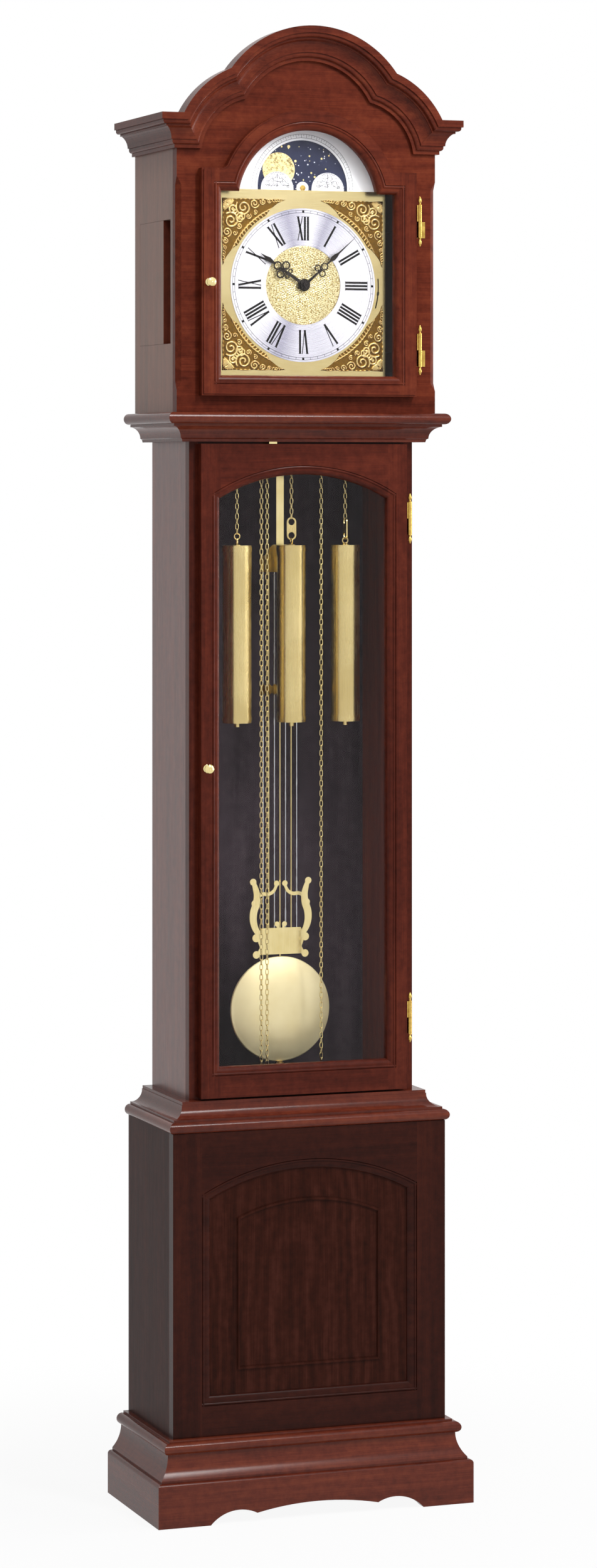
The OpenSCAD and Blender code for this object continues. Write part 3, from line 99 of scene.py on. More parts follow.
def add_node(tree: Tree, kind: str, inputs: dict | None = None,
             stops: tuple[tuple[float, str], ...] = (), **settings: object) -> Node:
    """Add a node with its settings and links.

    Args:
        tree: the node tree that the node goes into.
        kind: the node's type name.
        inputs: a value, or another node's output socket, for each input named or numbered here.
        stops: place and hex colour of each stop of its colour ramp, in order.
        settings: properties of the node itself.

    Returns:
        The new node.
    """
    node = tree.nodes.new(kind)
    for name, value in settings.items():
        setattr(node, name, value)
    fill(tree, node, inputs or {})
    if stops:
        elements = node.color_ramp.elements
        while len(elements) < len(stops):
            elements.new(1.0)
        for element, (position, colour) in zip(elements, stops):
            element.position = position
            element.color = linear(colour)
    return node


def grid_faces(rows: int, columns: int, wrap_rows: bool, wrap_columns: bool) -> np.ndarray:
    """Return the four-sided faces of a grid of points, numbered row by row.

    Args:
        rows: how many rows of points there are.
        columns: how many points a row has.
        wrap_rows: whether the last row joins the first.
        wrap_columns: whether the last point of a row joins its first.

    Returns:
        One row of four point numbers for each face.
    """
    i, j = np.meshgrid(np.arange(rows - (not wrap_rows)), np.arange(columns - (not wrap_columns)),
                       indexing="ij")
    i, j = i.ravel(), j.ravel()
    k, m = (i + 1) % rows, (j + 1) % columns
    return np.stack([i * columns + j, i * columns + m, k * columns + m, k * columns + j], axis=1)


@dataclass
class Surface:
    """A mesh worked out with numpy: points in metres, and faces as rows of point numbers."""

    points: np.ndarray
    faces: list[np.ndarray]

    @staticmethod
    def joined(parts: list["Surface"]) -> "Surface":
        """Join surfaces into one.

        Args:
            parts: the surfaces, in order.

        Returns:
            All of them, each with its point numbers moved on past the ones before it.
        """
        shift = np.cumsum([0] + [len(p.points) for p in parts])
        faces = [f + shift[i] for i, p in enumerate(parts) for f in p.faces]
        return Surface(np.concatenate([p.points for p in parts]), faces)

    @staticmethod
    def rings(points: np.ndarray, closed: bool = False) -> "Surface":
        """Lay a skin over rings of points.

        Args:
            points: the rings, one a row, each with the same number of points.
            closed: whether the last ring joins the first.

        Returns:
            The skin, with flat ends where it isn't closed.
        """
        count, sides = points.shape[:2]
        faces = [grid_faces(count, sides, closed, True)]
        if not closed:
            rim = np.arange(sides)
            faces += [rim[None, ::-1], rim[None] + (count - 1) * sides]
        return Surface(points.reshape(-1, 3), faces)

    def volume(self) -> float:
        """Measure the volume that the faces shut in.

        Each face is a fan of triangles, and each triangle with the origin makes a tetrahedron.

        Returns:
            Cubic metres, negative where the faces point inwards.
        """
        total = 0.0
        for rows in self.faces:
            corner = self.points[rows]
            for k in range(1, rows.shape[1] - 1):
                cross = np.cross(corner[:, k], corner[:, k + 1])
                total += float(np.einsum("ij,ij->", corner[:, 0], cross)) / 6
        return total

    def outward(self) -> "Surface":
        """Return the surface with its faces turned outwards."""
        return self if self.volume() > 0 else Surface(self.points, [f[:, ::-1] for f in self.faces])

    def piece(self, name: str, material: Material, smooth: bool = True) -> bpy.types.Object:
        """Make a Blender object of the surface, with its faces turned outwards.

        Args:
            name: the object's name.
            material: the finish that it wears.
            smooth: whether its faces shade as one curved skin.

        Returns:
            The object, at the origin.
        """
        mesh = bpy.data.meshes.new(name)
        faces = [row for rows in self.outward().faces for row in rows.tolist()]
        mesh.from_pydata(self.points.tolist(), [], faces)
        mesh.update()
        mesh.polygons.foreach_set("use_smooth", np.full(len(mesh.polygons), smooth))
        mesh.materials.append(material)
        obj = bpy.data.objects.new(name, mesh)
        bpy.context.scene.collection.objects.link(obj)
        return obj


def full_turn(sides: int) -> np.ndarray:
    """Return the angles of so many even steps round a circle."""
    return np.linspace(0, math.tau, sides, endpoint=False)


def round_section(radius: float, sides: int) -> np.ndarray:
    """Return the section of a round wire, one corner a row."""
    turn = full_turn(sides)
    return radius * np.stack([np.cos(turn), np.sin(turn)], axis=1)


def polar_grid(first: float, last: float, rings: int, sides: int) -> tuple[np.ndarray, ...]:
    """Lay points on rings about a middle.

    Args:
        first: the radius of the smallest ring.
        last: the radius of the largest.
        rings: how many rings there are, evenly spaced.
        sides: how many points a ring has.

    Returns:
        The rings' radii as a column, and the sideways places and heights of the points.
    """
    radius = np.linspace(first, last, rings)[:, None]
    turn = full_turn(sides)[None, :]
    return radius, radius * np.cos(turn), radius * np.sin(turn)


def carried(path: np.ndarray, side: np.ndarray, up: np.ndarray, profile: np.ndarray,
            closed: bool) -> Surface:
    """Carry a profile along a path.

    A point of the surface is the path's point, plus the profile's first number along side and its
    second along up.

    Args:
        path: points of the path, one a row.
        side: the profile's first direction at each point.
        up: its second direction at each point.
        profile: the profile's corners, one a row, as a closed loop.
        closed: whether the path ends where it starts.

    Returns:
        The surface, with flat ends where the path is open.
    """
    points = (path[:, None] + profile[None, :, :1] * side[:, None]
              + profile[None, :, 1:] * up[:, None])
    return Surface.rings(points, closed)


def ink_line(x: np.ndarray, z: np.ndarray, y: float, width: float, height: float,
             closed: bool = False) -> Surface:
    """Lay a thin raised line on a face that looks towards the viewer.

    The line's cross-section is a rectangle that stands on the face, carried along the points.

    Args:
        x: sideways places of the line's points, in metres.
        z: their heights.
        y: the depth of the face.
        width: the line's width.
        height: how far it stands proud.
        closed: whether it is a loop.

    Returns:
        The line's surface.
    """
    path = np.stack([x, np.full_like(x, y), z], axis=1)
    if closed:
        ahead = np.roll(path, -1, axis=0) - np.roll(path, 1, axis=0)
    else:
        ahead = np.gradient(path, axis=0)
    ahead /= np.linalg.norm(ahead, axis=1, keepdims=True)
    up = np.tile([0.0, -1.0, 0.0], (len(path), 1))
    half = width / 2
    section = np.array([[-half, -height], [half, -height], [half, height], [-half, height]])
    return carried(path, np.cross(ahead, up), up, section, closed)


def raised_quads(corners: np.ndarray, y: float, height: float) -> Surface:
    """Raise flat four-sided shapes off a face that looks towards the viewer.

    Args:
        corners: sideways place and height of four corners for each shape.
        y: the depth of the face.
        height: how far the shapes stand proud, and how deep they are let in.

    Returns:
        One closed block for each shape.
    """
    n = len(corners)
    back = np.stack([corners[..., 0], np.full((n, 4), y + height), corners[..., 1]], axis=-1)
    front = back - [0, 2 * height, 0]
    start = 8 * np.arange(n)[:, None]
    walls = [start + [k, (k + 1) % 4, (k + 1) % 4 + 4, k + 4] for k in range(4)]
    return Surface(np.concatenate([back, front], axis=1).reshape(-1, 3),
                   [start + [3, 2, 1, 0], start + [4, 5, 6, 7], *walls])


def round_disc(x: float, z: float, radius: float, y: float, height: float, sides: int) -> Surface:
    """Stand a thin disc on a face that looks towards the viewer.

    Args:
        x: the sideways place of its middle, in metres.
        z: the height of its middle.
        radius: its radius.
        y: the depth of the face.
        height: how far it stands proud, and how deep it is let in.
        sides: how many corners its rim has.

    Returns:
        The closed disc.
    """
    turn = full_turn(sides)
    px, pz = x + radius * np.cos(turn), z + radius * np.sin(turn)
    return Surface.rings(np.stack([np.stack([px, np.full_like(px, depth), pz], axis=-1)
                                   for depth in (y + height, y - height)]))


def embossed_disc(middle: tuple[float, float], x: np.ndarray, z: np.ndarray, y: np.ndarray,
                  back: float) -> Surface:
    """Close an embossed disc with a wall and a flat back.

    Args:
        middle: the sideways place and height of its middle.
        x: the sideways places of the front's points from the middle, one ring a row.
        z: their heights from the middle.
        y: their depths.
        back: the depth of the back.

    Returns:
        The closed disc.
    """
    front = np.stack([middle[0] + x, y, middle[1] + z], axis=-1)
    rim = front[-1:].copy()
    rim[..., 1] = back
    return Surface.rings(np.concatenate([front, rim]))


def dress(material: Material, *names: str) -> None:
    """Give CAD nodes a finish through their material slots.

    Args:
        material: the finish.
        names: the nodes' names.
    """
    for name in names:
        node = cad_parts[name]
        node.data.materials.clear()
        node.data.materials.append(material)
        LOG.info("%s wears %s", name, material.name)


def place(piece: bpy.types.Object, body: str, slot: str, *replaced: str) -> None:
    """Let a piece ride on a body.

    Args:
        piece: the piece.
        body: the body that carries it.
        slot: the slot that its finish belongs to; not used.
        replaced: the CAD nodes that it stands for.
    """
    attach(piece, body)
    if replaced:
        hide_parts(*replaced)
    LOG.info("%s rides on %s", piece.name, body)


# Finishes


class Along(Enum):
    """The way that the grain of a board runs."""

    WIDTH = (1.0, 0.0, 0.0)
    DEPTH = (0.0, 1.0, 0.0)
    HEIGHT = (0.0, 0.0, 1.0)


@dataclass(frozen=True)
class Grain:
    """Where a wooden piece's grain runs which way.

    The grain runs along second wherever the piece is further out than edge, which is the distance
    from the middle line where its stiles start, in metres. Its default is past any piece. With
    mitre set, the grain runs along second where the distance from the middle line and the depth
    add up to more than mitre, which is the far side of a corner cut at 45 degrees.
    """

    first: Along = Along.HEIGHT
    second: Along = Along.HEIGHT
    edge: float = 9.0
    mitre: float | None = None


@dataclass(frozen=True)
class Finish(ABC):
    """A finish of the real clock, which makes one material of that name."""

    name: str

    @abstractmethod
    def shade(self, tree: Tree, shader: Node, spot: Socket) -> Socket:
        """Set and link the shader's inputs.

        Args:
            tree: the material's node tree.
            shader: its Principled shader.
            spot: the object coordinates, in metres.

        Returns:
            What the material's surface shows.
        """

    def make(self) -> Material:
        """Make the material.

        Returns:
            The material, shaded as the finish says.
        """
        material = bpy.data.materials.new(self.name)
        material.use_nodes = True
        tree = material.node_tree
        tree.nodes.clear()
        shader = add_node(tree, "ShaderNodeBsdfPrincipled")
        spot = add_node(tree, "ShaderNodeTexCoord").outputs["Object"]
        surface = self.shade(tree, shader, spot)
        add_node(tree, "ShaderNodeOutputMaterial", {"Surface": surface})
        return material


@dataclass(frozen=True)
class LacqueredWood(Finish):
    """Close-grained hardwood, stained and sprayed with satin lacquer.

    The stain gives the eye long soft streaks and fine dark pores, and the lacquer a clear shine
    over them. Widths and lengths of the streaks are in metres, and arches is the height of the
    middle of a flat-sawn board's rings.
    """

    tones: tuple[str, str, str]
    grain: Grain = field(default_factory=Grain)
    pore_width: float = 0.0011
    pore_length: float = 0.05
    figure_width: float = 0.016
    figure_length: float = 0.42
    mottle: float = 0.012
    roughness: float = 0.34
    lacquer: float = 0.03
    mirror: float = 0.05
    sheen: float = 0.0
    arches: float | None = None
    ring_lean: float = 0.065
    ring_waver: float = 0.05
    ring_share: float = 0.1
    mottle_share: float = 0.4
    pore_share: float = 0.3
    pore_depth: float = 0.00006
    tone_places: Spot = (0.44, 0.65, 0.84)
    lacquer_roughness: float = 0.16

    def pattern(self, tree: Tree, spot: Socket, turn: Socket, width: float,
                length: float) -> Socket:
        """Stretch coordinates along the grain, on both sides of a joint.

        Args:
            tree: the node tree.
            spot: the object coordinates.
            turn: 1 past the joint and 0 before it.
            width: how wide a streak is across the grain.
            length: how long it is along the grain.

        Returns:
            Coordinates that count streaks.
        """
        first, second = (tuple(1 / (length if part else width) for part in way.value)
                         for way in (self.grain.first, self.grain.second))
        # Inputs 4 and 5 and output 1 are the ones that mix vectors
        ways = add_node(tree, "ShaderNodeMix", {"Factor": turn, 4: first, 5: second},
                        data_type="VECTOR").outputs[1]
        return add_node(tree, "ShaderNodeVectorMath", {0: spot, 1: ways},
                        operation="MULTIPLY").outputs[0]

    def joint(self, tree: Tree, spot: Socket) -> Socket:
        """Find the side of the piece's joint.

        Args:
            tree: the node tree.
            spot: the object coordinates.

        Returns:
            1 past the joint and 0 before it.
        """
        parts = add_node(tree, "ShaderNodeSeparateXYZ", {0: spot})
        out = add_node(tree, "ShaderNodeMath", {0: parts.outputs[0]},
                       operation="ABSOLUTE").outputs[0]
        limit = self.grain.edge
        if self.grain.mitre is not None:
            out = add_node(tree, "ShaderNodeMath", {0: out, 1: parts.outputs[1]},
                           operation="ADD").outputs[0]
            limit = self.grain.mitre
        return add_node(tree, "ShaderNodeMath", {0: out, 1: limit},
                        operation="GREATER_THAN").outputs[0]

    def arched(self, tree: Tree, spot: Socket) -> Socket:
        """Draw the arched growth rings of a flat-sawn board.

        Rings round a line that leans through the board cut its face in long arches, so the pattern
        is rings in the sideways place and a small share of the height. The wave's scale of 21 sets
        them 15 mm apart.

        Args:
            tree: the node tree.
            spot: the object coordinates.

        Returns:
            The rings, from 0 to 1.
        """
        bent = add_node(tree, "ShaderNodeMapping", {
            "Vector": spot, "Location": (0.0, -self.ring_lean * self.arches, 0.0),
            "Rotation": (-math.pi / 2, 0.0, 0.0), "Scale": (1.0, 0.0, self.ring_lean)}).outputs[0]
        wavy = add_node(tree, "ShaderNodeTexNoise", {
            "Vector": spot, "Scale": 7.0, "Detail": 4.0}).outputs["Color"]
        shifted = add_node(tree, "ShaderNodeVectorMath", {
            0: wavy, 1: (self.ring_waver,) * 3, 2: bent}, operation="MULTIPLY_ADD").outputs[0]
        return add_node(tree, "ShaderNodeTexWave", {"Vector": shifted, "Scale": 21.0},
                        wave_type="RINGS", rings_direction="Z").outputs["Fac"]

    def shade(self, tree: Tree, shader: Node, spot: Socket) -> Socket:
        """Stain the wood in streaks and pores, and lacquer it.

        Args:
            tree: the material's node tree.
            shader: its Principled shader.
            spot: the object coordinates, in metres.

        Returns:
            The lacquered wood.
        """
        turn = self.joint(tree, spot)
        streaks = self.pattern(tree, spot, turn, self.figure_width, self.figure_length)
        figure = add_node(tree, "ShaderNodeTexNoise", {
            "Vector": streaks, "Scale": 1.0, "Detail": 3.0, "Roughness": 0.55,
            "Distortion": 0.35}).outputs[0]
        lines = self.pattern(tree, spot, turn, self.pore_width, self.pore_length)
        pores = add_node(tree, "ShaderNodeTexNoise", {
            "Vector": lines, "Scale": 1.0, "Detail": 2.0}).outputs[0]
        mottle = add_node(tree, "ShaderNodeTexNoise", {
            "Vector": spot, "Scale": 1 / self.mottle, "Detail": 4.0, "Roughness": 0.65}).outputs[0]
        figure = add_node(tree, "ShaderNodeMix", {
            "Factor": self.mottle_share, "A": figure, "B": mottle}).outputs[0]
        if self.arches is not None:
            rings = self.arched(tree, spot)
            figure = add_node(tree, "ShaderNodeMix", {
                "Factor": self.ring_share, "A": figure, "B": rings}).outputs[0]
        grain = add_node(tree, "ShaderNodeMath", {0: pores, 1: self.pore_share, 2: figure},
                         operation="MULTIPLY_ADD").outputs[0]
        stain = add_node(tree, "ShaderNodeValToRGB", {0: grain},
                         tuple(zip(self.tone_places, self.tones))).outputs[0]
        shine = add_node(tree, "ShaderNodeMapRange", {
            "Value": pores, "From Min": 0.3, "From Max": 0.7, "To Min": self.roughness + 0.07,
            "To Max": self.roughness - 0.03}).outputs[0]
        fill(tree, shader, {
            "Base Color": stain, "Roughness": shine, "IOR": 1.5,
            "Normal": add_node(tree, "ShaderNodeBump", {
                "Height": grain, "Distance": self.pore_depth, "Strength": 0.35}).outputs[0],
            "Coat Weight": self.lacquer, "Coat Roughness": self.lacquer_roughness,
            "Specular IOR Level": self.mirror, "Sheen Weight": self.sheen,
            "Sheen Roughness": 0.5, "Sheen Tint": (1.0, 0.82, 0.66, 1.0)})
        return shader.outputs[0]


@dataclass(frozen=True)
class Metal(Finish):
    """Sheet, turned or cast metal whose marks run along one way.

    Brushing leaves hair-thin lines that stretch the highlights, polishing leaves hardly any, and
    an old lacquer or patina sits in patches. A line's size goes along x, y and z, in metres, and
    depth is that of the marks. Spread is how wide the colours fade into each other about the
    noise's middle.
    """

    bright: str
    dull: str
    roughness: float
    line: Spot = (0.0006, 0.0006, 0.03)
    patch: float = 0.03
    depth: float = 0.00002
    spread: float = 0.35
    metallic: float = 1.0
    noise_middle: float = 0.48
    line_share: float = 0.4

    def shade(self, tree: Tree, shader: Node, spot: Socket) -> Socket:
        """Draw the marks and patches, which change the colour and the shine.

        Args:
            tree: the material's node tree.
            shader: its Principled shader.
            spot: the object coordinates, in metres.

        Returns:
            The metal.
        """
        fine = add_node(tree, "ShaderNodeMapping", {
            "Vector": spot, "Scale": tuple(1 / part for part in self.line)}).outputs[0]
        lines = add_node(tree, "ShaderNodeTexNoise", {"Vector": fine, "Scale": 1.0}).outputs[0]
        # On the hammered gold these patches are painted light and shade of its dents
        patches = add_node(tree, "ShaderNodeTexNoise", {
            "Vector": spot, "Scale": 1 / self.patch, "Detail": 3.0}).outputs[0]
        both = add_node(tree, "ShaderNodeMix", {
            "Factor": self.line_share, "A": patches, "B": lines}).outputs[0]
        middle, fade = self.noise_middle, self.spread / 2
        colour = add_node(tree, "ShaderNodeValToRGB", {0: both}, (
            (middle - fade, self.dull), (middle + fade, self.bright))).outputs[0]
        rough = add_node(tree, "ShaderNodeMapRange", {
            "Value": both, "From Min": 0.35, "From Max": 0.65, "To Min": self.roughness * 0.8,
            "To Max": self.roughness * 1.25}).outputs[0]
        fill(tree, shader, {
            "Base Color": colour, "Roughness": rough, "Metallic": self.metallic,
            "Normal": add_node(tree, "ShaderNodeBump", {
                "Height": lines, "Distance": self.depth, "Strength": 0.3}).outputs[0]})
        return shader.outputs[0]


@dataclass(frozen=True)
class CastBrass(Finish):
    """Cast brass ornament with its hollows darkened and its ridges rubbed bright.

    The colour follows the depth, from floor at the bottom of the hollows to top on the ridges, as
    patina and painted shade.
    """

    floor: float
    top: float

    def shade(self, tree: Tree, shader: Node, spot: Socket) -> Socket:
        """Darken the hollows and rub the ridges.

        Args:
            tree: the material's node tree.
            shader: its Principled shader.
            spot: the object coordinates, in metres.

        Returns:
            The brass.
        """
        depth = add_node(tree, "ShaderNodeSeparateXYZ", {0: spot}).outputs[1]
        # Painted shade and patina: darker towards the floor of the hollows, lighter on the ridges
        raised = add_node(tree, "ShaderNodeMapRange", {
            "Value": depth, "From Min": self.floor, "From Max": self.top}).outputs[0]
        # Grime in spots of 2.4 mm
        grime = add_node(tree, "ShaderNodeTexNoise", {
            "Vector": spot, "Scale": 420.0, "Detail": 3.0}).outputs[0]
        mixed = add_node(tree, "ShaderNodeMix", {
            "Factor": 0.22, "A": raised, "B": grime}).outputs[0]
        colour = add_node(tree, "ShaderNodeValToRGB", {0: mixed}, (
            (0.05, "#2f1f0b"), (0.22, "#76561f"), (0.5, "#b08c48"), (0.85, "#dcc284"))).outputs[0]
        rough = add_node(tree, "ShaderNodeMapRange", {
            "Value": mixed, "From Min": 0.1, "From Max": 0.8, "To Min": 0.6,
            "To Max": 0.24}).outputs[0]
        fill(tree, shader, {
            "Base Color": colour, "Roughness": rough, "Metallic": 1.0,
            "Normal": add_node(tree, "ShaderNodeBump", {
                "Height": grime, "Distance": 0.0001, "Strength": 0.4}).outputs[0]})
        return shader.outputs[0]


@dataclass(frozen=True)
class SpunSilver(Finish):
    """Silvered brass, brushed in circles about the dial's middle.

    Such brushing's light and dark sectors fan out from the middle as painted reflection, with fine
    rings.
    """

    middle_z: float
    pale: str = "#e6e4ea"
    mid: str = "#cbc9d3"
    grey: str = "#9c9aab"
    grooves: float = 7000.0
    groove_bundle: float = 0.25
    groove_share: float = 0.12

    def shade(self, tree: Tree, shader: Node, spot: Socket) -> Socket:
        """Paint the reflected light and dark sectors into the colour, and draw the rings.

        Args:
            tree: the material's node tree.
            shader: its Principled shader.
            spot: the object coordinates, in metres.

        Returns:
            The silver.
        """
        flat = add_node(tree, "ShaderNodeMapping", {
            "Vector": spot, "Location": (0.0, -self.middle_z, 0.0),
            "Rotation": (-math.pi / 2, 0.0, 0.0)}).outputs[0]
        fan = add_node(tree, "ShaderNodeTexGradient", {0: flat},
                       gradient_type="RADIAL").outputs["Fac"]
        pale, mid, grey = self.pale, self.mid, self.grey
        # Painted reflection: light and dark sectors round the dial's middle, set in the colour
        sheen = add_node(tree, "ShaderNodeValToRGB", {0: fan}, (
            (0.0, pale), (0.11, pale), (0.19, grey), (0.235, mid), (0.3, mid), (0.38, pale),
            (0.58, pale), (0.655, mid), (0.69, grey), (0.725, pale), (0.79, grey),
            (0.85, pale))).outputs[0]
        radius = add_node(tree, "ShaderNodeVectorMath", {0: flat},
                          operation="LENGTH").outputs["Value"]
        # Seven grooves a millimetre are finer than a picture shows, so each four of them, 0.6 mm
        # wide, are drawn as one
        groove = add_node(tree, "ShaderNodeMath", {0: radius, 1: self.grooves},
                          operation="MULTIPLY").outputs[0]
        rings = add_node(tree, "ShaderNodeTexNoise", {
            "W": groove, "Scale": self.groove_bundle, "Detail": 2.0},
            noise_dimensions="1D").outputs[0]
        lines = add_node(tree, "ShaderNodeValToRGB", {0: rings}, (
            (0.3, "#9c9dab"), (0.7, "#ffffff"))).outputs[0]
        # Inputs 6 and 7 and output 2 are the ones that mix colours
        # The painted sheen mixed with the drawn grooves
        painted_sheen_and_grooves = add_node(tree, "ShaderNodeMix", {"Factor": self.groove_share, 6: sheen, 7: lines},
                        data_type="RGBA").outputs[2]
        rough = add_node(tree, "ShaderNodeMapRange", {
            "Value": rings, "From Min": 0.3, "From Max": 0.7, "To Min": 0.22,
            "To Max": 0.34}).outputs[0]
        fill(tree, shader, {
            "Base Color": painted_sheen_and_grooves, "Roughness": rough, "Metallic": 0.75,
            "Normal": add_node(tree, "ShaderNodeBump", {
                "Height": rings, "Distance": 0.00001, "Strength": 0.1}).outputs[0]})
        return shader.outputs[0]


@dataclass(frozen=True)
class Paint(Finish):
    """Printed or sprayed paint on sheet metal: an even coat with a faint orange peel."""

    colour: str
    shade_colour: str
    roughness: float = 0.35
    mirror: float = 0.25

    def shade(self, tree: Tree, shader: Node, spot: Socket) -> Socket:
        """Coat the sheet.

        Args:
            tree: the material's node tree.
            shader: its Principled shader.
            spot: the object coordinates, in metres.

        Returns:
            The paint.
        """
        # Orange peel of 1.1 mm, and clouds of 29 mm in the colour
        peel = add_node(tree, "ShaderNodeTexNoise", {
            "Vector": spot, "Scale": 900.0, "Detail": 1.0}).outputs[0]
        cloud = add_node(tree, "ShaderNodeTexNoise", {
            "Vector": spot, "Scale": 35.0, "Detail": 2.0}).outputs[0]
        colour = add_node(tree, "ShaderNodeValToRGB", {0: cloud}, (
            (0.3, self.shade_colour), (0.7, self.colour))).outputs[0]
        rough = add_node(tree, "ShaderNodeMapRange", {
            "Value": peel, "To Min": self.roughness - 0.04,
            "To Max": self.roughness + 0.06}).outputs[0]
        fill(tree, shader, {
            "Base Color": colour, "Roughness": rough, "Specular IOR Level": self.mirror,
            "Normal": add_node(tree, "ShaderNodeBump", {
                "Height": peel, "Distance": 0.00001, "Strength": 0.2}).outputs[0]})
        return shader.outputs[0]


@dataclass(frozen=True)
class MoonGold(Finish):
    """Gold print with the mottled seas of a moon."""

    def shade(self, tree: Tree, shader: Node, spot: Socket) -> Socket:
        """Mottle the gold with seas.

        Args:
            tree: the material's node tree.
            shader: its Principled shader.
            spot: the object coordinates, in metres.

        Returns:
            The print.
        """
        # Seas of 4 mm with finer bays
        seas = add_node(tree, "ShaderNodeTexNoise", {
            "Vector": spot, "Scale": 260.0, "Detail": 6.0, "Roughness": 0.75}).outputs[0]
        colour = add_node(tree, "ShaderNodeValToRGB", {0: seas}, (
            (0.34, "#4d4124"), (0.43, "#9c8850"), (0.48, "#d3c187"), (0.7, "#e6d9aa"))).outputs[0]
        fill(tree, shader, {
            "Base Color": colour, "Roughness": 0.42, "Metallic": 0.45,
            "Normal": add_node(tree, "ShaderNodeBump", {
                "Height": seas, "Distance": 0.0001, "Strength": 0.3}).outputs[0]})
        return shader.outputs[0]


@dataclass(frozen=True)
class DoorGlass(Finish):
    """Float glass, 3 mm thick: clear and smooth, with the faintest cool tint.

    Lamps shine through it, because a Transparent shader takes its place for rays that look for
    them.
    """

    clear: float = 0.97
    glare: float = 0.25

    def shade(self, tree: Tree, shader: Node, spot: Socket) -> Socket:
        """Make the pane clear to sight and to lamps.

        Args:
            tree: the material's node tree.
            shader: its Principled shader.
            spot: the object coordinates, in metres.

        Returns:
            The glass.
        """
        wave = add_node(tree, "ShaderNodeTexNoise", {"Vector": spot, "Scale": 9.0}).outputs[0]
        tint = add_node(tree, "ShaderNodeValToRGB", {0: wave}, (
            (0.2, "#fbfafd"), (0.8, "#ffffff"))).outputs[0]
        fill(tree, shader, {
            "Base Color": tint, "Roughness": 0.0, "Transmission Weight": 1.0, "IOR": 1.45,
            "Specular Tint": (*(self.glare,) * 3, 1.0)})
        looks = add_node(tree, "ShaderNodeLightPath").outputs["Is Shadow Ray"]
        empty = add_node(tree, "ShaderNodeBsdfTransparent", {0: (*(self.clear,) * 3, 1.0)})
        return add_node(tree, "ShaderNodeMixShader", {
            0: looks, 1: shader.outputs[0], 2: empty.outputs[0]}).outputs[0]


def plainly_seen(tree: Tree) -> Socket:
    """Tell the rays that show the room from those that only carry its light.

    Args:
        tree: the node tree.

    Returns:
        1 for rays from the camera, a mirror or glass, and 0 for the rest.
    """
    rays = add_node(tree, "ShaderNodeLightPath").outputs
    first = add_node(tree, "ShaderNodeMath", {0: rays["Is Camera Ray"], 1: rays["Is Glossy Ray"]},
                     operation="MAXIMUM").outputs[0]
    return add_node(tree, "ShaderNodeMath", {0: first, 1: rays["Is Transmission Ray"]},
                    operation="MAXIMUM").outputs[0]


@dataclass(frozen=True)
class PaleFloor(Finish):
    """Matt pale floor that shows white, a shade less round the clock, and takes its shadow."""

    near: float = 0.35
    far: float = 1.1
    near_level: float = 0.92

    def shade(self, tree: Tree, shader: Node, spot: Socket) -> Socket:
        """Mix the lit floor with plain white.

        Args:
            tree: the material's node tree.
            shader: its Principled shader.
            spot: the object coordinates, in metres.

        Returns:
            The floor.
        """
        fill(tree, shader, {"Base Color": linear("#f4f4f4"), "Roughness": 0.8})
        white = add_node(tree, "ShaderNodeEmission", {"Color": WHITE, "Strength": 1.0}).outputs[0]
        away = add_node(tree, "ShaderNodeVectorMath", {0: spot},
                        operation="LENGTH").outputs["Value"]
        level = add_node(tree, "ShaderNodeMapRange", {
            "Value": away, "From Min": self.near, "From Max": self.far, "To Min": self.near_level,
            "To Max": 1.0}, interpolation_type="SMOOTHSTEP").outputs[0]
        shown = add_node(tree, "ShaderNodeMath", {0: plainly_seen(tree), 1: level},
                         operation="MULTIPLY").outputs[0]
        return add_node(tree, "ShaderNodeMixShader", {
            0: shown, 1: shader.outputs[0], 2: white}).outputs[0]


# Dark, middle and light tone of each stain, darker down the case from the hood to the base
MAHOGANY = ("#46190f", "#64291a", "#7a3823")
WAIST = ("#38140c", "#542116", "#692d1e")
# The base's tones are the mahogany darkened as painted shade, where the light falls off low down
SHADED_BASE = ("#260d07", "#37150d", "#451d12")
# The walnut panel's own figured wood, its tones darkened too as painted shade low down
SHADED_WALNUT = ("#220d07", "#37170e", "#48231a")
INNER = ("#261e22", "#3a3036", "#4c4147")


@dataclass
class Finishes:
    """The finishes that more than one sub-assembly wears, each made once."""

    # Lyre, rods, chains and knobs: brass polished and clear lacquered, a bright pale gold
    brass_polished: Material = field(default_factory=Metal(
        "polished_brass", "#f0e0a6", "#e2cd8a", 0.16, depth=0.000005).make)
    # Movement, wheels and nut: brass as machined, softer in its shine
    brass_matt: Material = field(default_factory=Metal(
        "machined_brass", "#d8bb70", "#bd9c50", 0.34).make)
    # Weights: brass tube brushed lengthways
    brass_brushed: Material = field(default_factory=Metal(
        "brushed_brass", "#dcc88c", "#c6b072", 0.25, line=(0.0005, 0.0005, 0.05), patch=0.08).make)
    # Hinges and the moon's screw: small brass castings, a little darker with age
    brass_hinge: Material = field(default_factory=Metal(
        "hinge_brass", "#d9b763", "#a98439", 0.26, patch=0.006).make)
    # Rods, arbor and anchor: steel ground bright
    steel: Material = field(default_factory=Metal(
        "ground_steel", "#cdd0d4", "#aeb2b8", 0.24).make)
    # Hands and lever: steel with a baked black
    black: Material = field(default_factory=Metal(
        "blackened_steel", "#34302e", "#1b1817", 0.42).make)
    glass: Material = field(default_factory=DoorGlass("door_glass").make)


# Sub-assemblies


